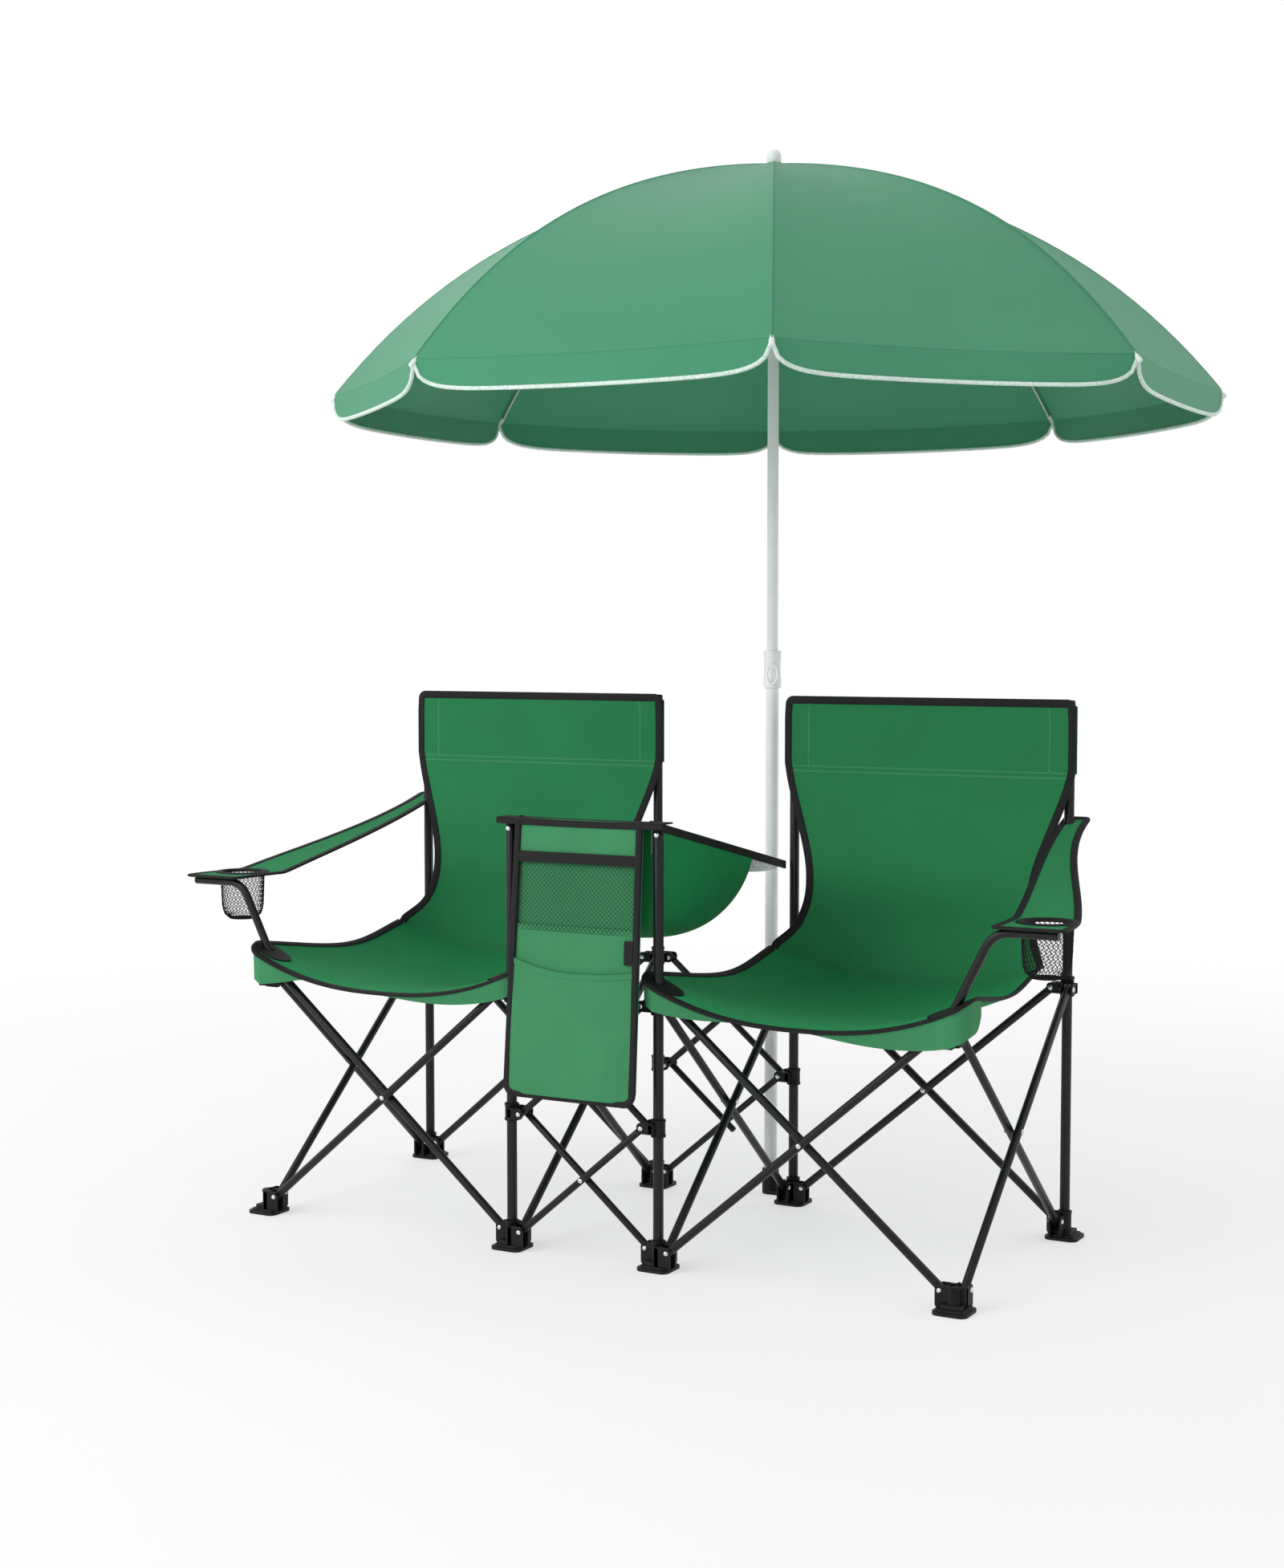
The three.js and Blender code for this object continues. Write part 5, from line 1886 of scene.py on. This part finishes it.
    def pocket_point(self, u: float, v: float) -> Vector:
        """A point of the lower pocket, whose mouth hangs a little open."""
        low = 0.012
        mouth = 0.475 - 0.02 * (1.0 - u * u) + 0.03 * max(0.0, -u) ** 2
        belly = 0.007 * (1.0 - u ** 4) * math.sin(math.pi * min(0.15 + 0.72 * v, 1.0))
        return self.panel_point(u, low + (mouth - low) * v, 0.0022 + belly)

    def organiser(self) -> None:
        """The hanging panel with its flap, its net, its pocket and their tape."""
        width = self.right - self.left - 2.0 * self.side_gap
        length, low, high = self.panel_length, self.net_low, self.net_high
        lower = self.window(0.0, low + 0.02, 0.0)
        upper = self.window(high, 1.0, 0.0005, 0.002)
        backing = self.part("backing", self.window(0.0, 1.0, -0.003), (24, 40), (width, length))
        panel = self.part("panel", lower, (24, 40), (width, length * 0.62))
        flap = self.part("flap", upper, (24, 10), (width, length * 0.14))
        pocket = self.part("pocket", self.pocket_point, (28, 28), (width, length * 0.46))

        def mouth(u: float, v: float) -> Vector:
            """The hem at the pocket's mouth."""
            return self.pocket_point(u, 0.955 + 0.045 * v)

        def front(u: float, v: float) -> Vector:
            """The plane of the tape, in front of the pocket's edges."""
            return self.panel_point(u, v, 0.0024)

        hem = Bench.soften(self.part("pocket_hem", mouth, (28, 3), (width, 0.01), 0.0034), 0.0008, 2)
        net = self.net(self.window(low, high, 0.0006, 0.003), (30, 15))
        across = self.window(high - 0.014, high + 0.024, 0.003)
        band = self.part("band", across, (24, 3), (width, 0.014), 0.0038, Finish.TAPE)
        edges = route((-1.0, 1.0), (-1.0, 0.0), (1.0, 0.0), (1.0, 1.0))
        tape = Bench.trim("organiser_tape", front, edges, 0.011, 0.0062)
        pull = window_strip(self.window(0.50, 0.585, 0.004, 0.002), 0.80, 0.93)
        loop = self.part("loop", pull, (4, 8), (0.013, 0.033), 0.003, Finish.TAPE)
        for piece in (backing, panel, flap, pocket, hem, net, band, tape, loop):
            fit(piece, "right_inner_front", "seat_cloth")
            self.folding(piece)
        sheets = (
            (backing, (width, length * 1.08), "console_strap", self.panel_point, [tape, loop, net, band]),
            (panel, (width, length * 0.66), backing.name, lower, []),
            (flap, (width, length * 0.16), "console_strap", upper, []),
            (pocket, (width * 1.1, length * 0.52), panel.name, self.pocket_point, [hem]),
        )
        for piece, flat, rest, surface, trims in sheets:
            area = sheet_area(surface)
            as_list(trims)

    @staticmethod
    def net(surface: Surface, cells: Cells) -> Piece:
        """An open net of diamond cells on a surface.

        Args:
            surface: The surface.
            cells: Number of cells across and up.

        Returns:
            The net.
        """
        piece = Bench.laid_grid("organiser_net", surface, cells)
        with Bench.editing():
            bpy.ops.mesh.poke()
            bpy.ops.mesh.select_mode(type="EDGE")
            bpy.ops.mesh.select_all(action="DESELECT")
        straight = 0.0003
        for edge in piece.data.edges:
            a, b = (piece.data.vertices[i].co for i in edge.vertices)
            edge.select = abs(a.x - b.x) < straight or abs(a.z - b.z) < straight
        with Bench.editing(whole=False):
            bpy.ops.mesh.dissolve_edges(use_verts=False)
        Bench.apply(piece, "WIREFRAME", thickness=0.0007, use_even_offset=False)
        return Bench.dress(Bench.smooth(piece, 60.0), Finish.NET)

    def rim(self, y: float) -> float:
        """Height of the pouch's rim at a depth."""
        top = self.strap_z + 0.003
        return top + (self.rear_z - top) * (y - self.front) / (self.rear - self.front)

    def pouch_section(self, v: float) -> Pair:
        """Depth along the object and drop below the rim of the pouch's sections.

        Args:
            v: Place along the pouch: down its front first, then back along it.

        Returns:
            The place along the object and the drop there.
        """
        down, turn, lap = 0.24, 0.012, 0.003
        if v < down:
            share = v / down
            bulge = 0.010 * ease(share) * ease(1.0 - share)
            drop = (self.pouch_depth - 0.004) * math.sin(math.pi / 2 * share)
            return self.front - bulge + turn * share ** 4, lap + drop
        t = math.sin(math.pi / 2 * (v - down) / (1.0 - down))
        drop = self.pouch_depth * math.sqrt(max(0.0, 1.0 - t ** 2.4))
        return self.front + turn + (self.end - self.front - turn) * t, lap + drop

    def pouch(self) -> None:
        """The cooler pouch in two halves, each on the posts of its own side."""
        for side, column in ((-1.0, "left_inner"), (1.0, "right_inner")):
            self.pouch_half(column, side)

    def pouch_half(self, column: str, side: float) -> None:
        """Builds one half of the pouch: a lofted shell, its lining, its rim tape and its rear corner.

        Args:
            column: The column that carries it.
            side: 1 on the right and -1 on the left.
        """
        front, rear, end = self.front, self.rear, self.end
        half = abs(self.layout.columns[column] - self.middle) - self.pouch_gap - 0.0015
        edge = self.middle + side * half
        squareness = 0.36

        def shell(u: float, v: float, inset: float = 0.0) -> Vector:
            """The pouch from its rim down its side and under to the middle.

            Args:
                u: Place down the section, from -1 at the rim to 1 in the middle.
                v: Place along the pouch, from 0 to 1.
                inset: Distance inside the cloth.

            Returns:
                The point.
            """
            y, drop = self.pouch_section(v)
            angle = math.pi / 2 * (u + 1.0) / 2.0
            out = max(0.0, math.cos(angle)) ** squareness
            down = math.sin(angle) ** squareness if angle > 0.0 else 0.0
            sag = 0.006 * (1.0 - out) * math.sin(math.pi * v)
            belly = 0.004 * math.sin(math.pi * down) * math.sin(math.pi * v)
            x = self.middle + side * ((half - inset) * out + belly)
            return Vector((x, y, self.rim(y) - (drop - inset) * down - sag))

        def lining(u: float, v: float) -> Vector:
            """The lining, just inside the pouch."""
            place = shell(-1.0 + 0.02 + 0.98 * (u + 1.0), 0.03 + 0.94 * v, 0.0024)
            return place + UP * 0.0012

        def tape(u: float, v: float) -> Vector:
            """The tape along the rim, from the front post to the rear post."""
            y = front - 0.008 + (rear - front + 0.016) * (u + 1.0) / 2.0
            return Vector((edge, y, self.rim(y) - 0.013 + 0.0135 * v))

        def corner(u: float, v: float) -> Vector:
            """The lining that shows behind the pouch, under the rim."""
            share = (u + 1.0) / 2.0
            y = end - 0.03 + (rear - end + 0.012) * share
            drop = 0.026 * (1.0 - share) ** 0.6 + 0.012
            return Vector((edge - side * 0.001, y, self.rim(y) - drop + drop * v))

        pieces = {
            "pouch": (shell, (28, 56), self.pouch_cut, self.cloth, Finish.BAG),
            "pouch_lining": (lining, (28, 56), self.pouch_cut, 0.001, Finish.FOIL),
            "pouch_rim": (tape, (40, 3), (rear - front, 0.0135), 0.0042, Finish.TAPE),
            "pouch_corner": (corner, (16, 6), (0.16, 0.04), 0.0012, Finish.FOIL),
        }
        for part, (surface, grid, size, thickness, finish) in pieces.items():
            piece = Bench.sheet(f"{column}_{part}", surface, grid, size, thickness, finish)
            if part == "pouch_rim":
                Bench.soften(piece, 0.001, 2)
            fit(piece, f"{column}_front", "seat_cloth")
            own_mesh(piece)
        area, rests = sheet_area(shell, 40), ["console_strap"]
        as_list(rests)


def window_strip(surface: Surface, low: float, high: float) -> Surface:
    """The part of a surface between two places across."""
    return lambda u, v: surface(low + (high - low) * (u + 1.0) / 2.0, v)


# Umbrella


@dataclass
class Umbrella:
    """The pole, the ribs and the canopy."""

    layout: Layout
    radius: float = 0.750
    apex: float = 1.755
    drop: float = 0.382
    pitch: float = 0.12
    dome: float = 0.4
    hole: float = 0.014
    valance: float = 0.045
    ribs: int = 8
    turn: float = math.radians(25.6)
    lower_top: float = 0.937
    lower_end: float = 0.807
    runner: float = 1.478
    mast_radius: float = 0.0095
    hold: float = 0.33
    cloth: float = 0.0012
    around: float = 4.5
    flat: Pair = (1.5, 1.5)
    pole: Vector = field(init=False)

    def __post_init__(self) -> None:
        """Reads from the model where the pole stands on the floor."""
        low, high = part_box("umbrella_lower_pole")
        self.pole = Vector(((low[0] + high[0]) / 2, (low[1] + high[1]) / 2, 0.0))

    def height(self, r: float) -> float:
        """Height of the canopy over a rib."""
        share = r / self.radius
        bow = (1.0 - self.dome) * share ** 2 + self.dome * share ** 4
        return self.apex - self.pitch * r - (self.drop - self.pitch * self.radius) * bow

    def round_pole(self, index: float, r: float, z: float) -> Vector:
        """A point in a rib's direction, at a distance from the pole and a height."""
        angle = self.turn + 2.0 * math.pi * index / self.ribs
        return self.pole + Vector((r * math.sin(angle), -r * math.cos(angle), z))

    def rib_point(self, index: float, r: float, below: float) -> Vector:
        """A point under the canopy on a rib."""
        return self.round_pole(index, r, self.height(r) - below)

    def build(self) -> None:
        """Builds the whole umbrella."""
        self.lower_pole()
        self.mast()
        self.canopy()

    def lower_pole(self) -> None:
        """The lower pole with its height lock: a collar, a thumb screw and a lever ring."""
        at, top = self.pole, self.lower_top
        bore = self.lower_end - 0.37
        profile = [(0.0, 0.0063), (0.0095, 0.0063), (0.011, 0.008), (0.011, top - 0.064)]
        profile += [(0.0145, top - 0.063), (0.0150, top - 0.060), (0.0150, top - 0.046)]
        profile += [(0.0142, top - 0.044), (0.0142, top - 0.015), (0.0150, top - 0.013)]
        profile += [(0.0150, top - 0.002), (0.0142, top), (0.0099, top), (0.0099, bore), (0.0, bore)]
        tube = Bench.turned("lower_pole_tube", profile, at, Finish.POLE, 40)
        face = Vector((math.sin(self.turn), -math.cos(self.turn), 0.0))
        side = Vector((face.y, -face.x, 0.0))
        centre = at + face * 0.0146 + UP * (top - 0.027)
        ends = (centre - face * 0.003, centre + face * 0.008)
        screw = Bench.rod("lock_screw", *ends, 0.0058, Finish.POLE, 0.0012)
        middle = centre + face * 0.006 - UP * 0.012
        angles = [2.0 * math.pi * k / 28 for k in range(28)]
        ring = [middle + side * (0.0085 * math.cos(a)) + UP * (0.017 * math.sin(a)) for a in angles]
        lever = Bench.cord("lock_lever", ring, 0.0019, Finish.POLE, closed=True)
        pole = Bench.join("lower_pole_tube", [tube, screw, lever])
        fit(pole, "umbrella_lower_pole", "pole_steel", "umbrella_lower_pole")

    def mast(self) -> None:
        """The upper pole with the crown, the finial, the runner, the ribs and the stretchers."""
        body, slot = "umbrella_mast", "pole_steel"
        low, high = self.pole + UP * self.lower_end, self.pole + UP * (self.apex + 0.0012)
        tube = Bench.rod("upper_pole_tube", low, high, self.mast_radius, Finish.POLE, 0.001, 32)
        fit(tube, body, slot, "umbrella_mast")
        bore = self.mast_radius + 0.0002
        finial = [(0.0, 0.024), (0.005, 0.0235), (0.0095, 0.021), (0.012, 0.016), (0.012, 0.003)]
        finial += [(0.0106, 0.001), (0.0112, -0.002), (0.0, -0.002)]
        crown = [(bore, -0.0239), (0.016, -0.0239), (0.020, -0.021), (0.020, -0.0105), (0.017, -0.0079)]
        crown += [(bore, -0.0079), (bore, -0.0239)]
        runner = [(bore, 0.0), (0.0125, 0.0), (0.013, 0.008), (0.0125, 0.012), (0.0165, 0.014)]
        runner += [(0.017, 0.02), (0.0165, 0.027), (0.012, 0.03), (0.0115, 0.034), (bore, 0.034), (bore, 0.0)]
        rings = {"finial_cap": (finial, self.apex), "crown_ring": (crown, self.apex)}
        rings["runner_ring"] = (runner, self.runner)
        for name, (profile, z) in rings.items():
            fit(Bench.turned(name, profile, self.pole + UP * z, Finish.WHITE, 32), body, slot)
        fit(self.rib_frame(), body, slot)
        caps = []
        for k in range(self.ribs):
            inner = self.rib_point(k, self.radius - 0.012, 0.007)
            outer = self.rib_point(k, self.radius + 0.007, 0.003)
            caps.append(Bench.rod(f"rib_cap_{k}", inner, outer, 0.0042, Finish.WHITE, 0.0016, 16))
        fit(Bench.join("rib_caps", caps), body, slot)

    def rib_frame(self) -> Piece:
        """The ribs with their stretchers and the clips where they meet.

        Returns:
            The joined ribs.
        """
        bars = []
        steps = 16
        reach = [0.016 + (self.radius - 0.018) * i / steps for i in range(steps + 1)]
        for k in range(self.ribs):
            line = [self.rib_point(k, r, 0.0095) for r in reach]
            bars.append(Bench.cord(f"rib_{k}", line, 0.0022, Finish.RIB))
            start = self.round_pole(k, 0.014, self.runner + 0.02)
            hold = self.rib_point(k, self.hold, 0.011)
            bars.append(Bench.rod(f"stretcher_{k}", start, hold, 0.002, Finish.RIB, 0.0004, 12))
            clip = [self.rib_point(k, self.hold + way * 0.008, 0.0105) for way in (-1.0, 1.0)]
            bars.append(Bench.rod(f"rib_clip_{k}", *clip, 0.0034, Finish.WHITE, 0.0006, 16))
        return Bench.join("rib_frame", bars)

    def cover_point(self, u: float, v: float) -> Vector:
        """A point of the canopy, tight between the ribs.

        Args:
            u: Place round it, from -1 to 1.
            v: Place from its top down to its rim, from 0 to 1.

        Returns:
            The point.
        """
        turn = (u + 1.0) / 2.0 * self.ribs
        k = min(int(turn), self.ribs - 1)
        share = turn - k
        r = self.hole + (self.radius - self.hole) * v
        place = self.rib_point(k, r, 0.0).lerp(self.rib_point(k + 1, r, 0.0), share)
        hollow = 0.040 * share * (1.0 - share) * math.sin(math.pi * v * 0.8)
        return place - UP * hollow

    def skirt_point(self, u: float, v: float) -> Vector:
        """A point of the hanging edge, which is rounded off at each rib's tip.

        Args:
            u: Place round it, from -1 to 1.
            v: Place from the rim down, from 0 to 1.

        Returns:
            The point.
        """
        top = self.cover_point(u, 1.0)
        turn = (u + 1.0) / 2.0 * self.ribs
        across = 2.0 * (turn - math.floor(turn)) - 1.0
        depth = self.valance * (1.0 - min(abs(across), 1.0) ** 9) ** 0.42
        away = Vector((top.x - self.pole.x, top.y - self.pole.y, 0.0)).normalized() * (0.0015 * v)
        return top + away - UP * (depth * v)

    def canopy(self) -> None:
        """The cover in one sheet with its hanging edge, pale piping and the seams over the ribs."""
        body, slot = "umbrella_mast", "canopy_cloth"
        look = (self.cloth, Finish.CANOPY)
        cells = ((22 * self.ribs, 34), (44 * self.ribs, 5))
        cover = Bench.sheet("canopy_cover", self.cover_point, cells[0], (self.around, 0.84), *look)
        cut = (self.around, self.valance)
        hem = Bench.sheet("canopy_skirt", self.skirt_point, cells[1], cut, *look)
        piping, seams = [], []
        out = [self.hole + (self.radius - self.hole) * i / 30 for i in range(31)]
        for k in range(self.ribs):
            places = [2.0 * (k + 0.0005 + 0.999 * i / 60) / self.ribs - 1.0 for i in range(61)]
            line = [self.skirt_point(u, 1.0) for u in places]
            piping.append(Bench.cord(f"piping_{k}", line, 0.0032, Finish.PIPING))
            ridge = [self.rib_point(k, r, -0.0004) for r in out]
            seams.append(Bench.cord(f"ridge_{k}", ridge, 0.0013, Finish.CANOPY))
        trims = [hem, Bench.join("canopy_piping", piping), Bench.join("canopy_seams", seams)]
        fit(cover, body, slot, "umbrella_canopy")
        for trim in trims:
            fit(trim, body, slot)
        area, rests = sheet_area(self.cover_point, 96), ["rib_frame"]
        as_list(rests)


# Stage


@dataclass
class Studio:
    """The floor, the lamps, the world and the camera."""

    layout: Layout
    lens: float = 54.0
    turn: float = 28.95
    pitch: float = 3.64
    stand: tuple[float, float, float] = (1.818, -3.341, 0.965)
    fade_start: float = 1.3
    fade_length: float = 2.2
    glow_near: float = 0.55
    glow_gain: float = 0.45

    def build(self) -> None:
        """Sets up the studio."""
        scene = bpy.context.scene
        scene.view_settings.view_transform = "Standard"
        self.camera(scene)
        self.floor()
        self.world(scene)
        self.lamp("key_lamp", (-2.4, -4.2, 3.0), (0.0, 0.0, 0.8), 3.0, 125.0)
        self.lamp("fill_lamp", (3.2, 2.4, 2.8), (0.0, 0.0, 0.8), 2.6, 28.0)
        self.lamp("rear_lamp", (-3.2, 3.0, 4.4), (0.0, 0.2, 1.3), 2.4, 30.0)

    def camera(self, scene: bpy.types.Scene) -> None:
        """Puts the camera where the photograph was taken from.

        Args:
            scene: The scene.
        """
        near = self.layout.corner("left_inner", "front")
        middle = (near + self.layout.corner("right_inner", "rear")) / 2
        data = bpy.data.cameras.new("photo_camera")
        data.lens = self.lens
        data.sensor_width = 36.0
        camera = bpy.data.objects.new("photo_camera", data)
        camera.location = middle + Vector(self.stand)
        camera.rotation_euler = (math.radians(90.0 - self.pitch), 0.0, math.radians(self.turn))
        bpy.context.collection.objects.link(camera)
        scene.camera = camera

    def floor(self) -> None:
        """A plain pale floor."""
        Bench.clear()
        bpy.ops.mesh.primitive_plane_add(size=60.0, location=(0.0, 0.0, -0.0005))
        floor = Bench.settle("studio_floor")
        board = Board("studio_floor")
        place = board.place()
        speck = board.noise(place, 3.0)
        white = (1.0, 1.0, 1.0, 1.0)
        board.set(Base_Color=board.tint(speck, shade(white, 0.86), shade(white, 0.88)), Roughness=0.9)
        reach = board.wire("ShaderNodeVectorMath", {"operation": "LENGTH"}, {0: place}, output="Value")
        far = (reach - self.fade_start) / self.fade_length
        far = far.math("MAXIMUM", 0.0).math("MINIMUM", 1.0)
        path = board.node("ShaderNodeLightPath", {}, {})
        seen = Wire(board, path.outputs["Is Camera Ray"]) + Wire(board, path.outputs["Is Glossy Ray"])
        fade = far * far * (3.0 - 2.0 * far)
        share = (fade * self.glow_gain + self.glow_near) * seen.math("MINIMUM", 1.0)
        glow = board.wire("ShaderNodeEmission", {}, {"Color": white, "Strength": 1.0})
        body = Wire(board, board.shader.outputs[0])
        mixed = board.wire("ShaderNodeMixShader", {}, {0: share, 1: body, 2: glow})
        board.feed(board.output.inputs["Surface"], mixed)
        floor.data.materials.append(board.material)

    @staticmethod
    def world(scene: bpy.types.Scene) -> None:
        """Even white light from all round, brighter where the camera sees it.

        Args:
            scene: The scene.
        """
        light, seen_gain = 0.76, 0.24
        world = bpy.data.worlds.new("studio_world")
        world.use_nodes = True
        scene.world = world
        ground = world.node_tree.nodes["Background"]
        ground.inputs["Color"].default_value = (1.0, 1.0, 1.0, 1.0)
        path = world.node_tree.nodes.new("ShaderNodeLightPath")
        seen = world.node_tree.nodes.new("ShaderNodeMath")
        seen.operation = "MULTIPLY_ADD"
        seen.inputs[1].default_value = seen_gain
        seen.inputs[2].default_value = light
        world.node_tree.links.new(path.outputs["Is Camera Ray"], seen.inputs[0])
        world.node_tree.links.new(seen.outputs[0], ground.inputs["Strength"])

    @staticmethod
    def lamp(
        name: str, place: tuple[float, ...], target: tuple[float, ...], size: float, power: float
    ) -> None:
        """A large soft lamp that points at a target.

        Args:
            name: The lamp's name.
            place: Where it stands.
            target: The target.
            size: Its width.
            power: Its power in watts.
        """
        data = bpy.data.lights.new(name, "AREA")
        data.size = size
        data.energy = power
        lamp = bpy.data.objects.new(name, data)
        lamp.location = place
        lamp.rotation_euler = (Vector(target) - Vector(place)).to_track_quat("-Z", "Y").to_euler()
        bpy.context.collection.objects.link(lamp)


def main() -> None:
    """Loads the model and builds every sub-assembly."""
    logging.basicConfig(level=logging.INFO, format="%(name)s: %(message)s")
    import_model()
    layout = Layout()
    umbrella = Umbrella(layout)
    Studio(layout).build()
    Joints(layout).build(umbrella.pole)
    tubes = Tubes(layout)
    tubes.build()
    for side in ("left", "right"):
        Chair(layout, side).build(tubes)
        Armrest(layout, side).build(tubes)
    Console(layout).build()
    umbrella.build()
    Bench.tidy()


if __name__ == "__main__":
    main()
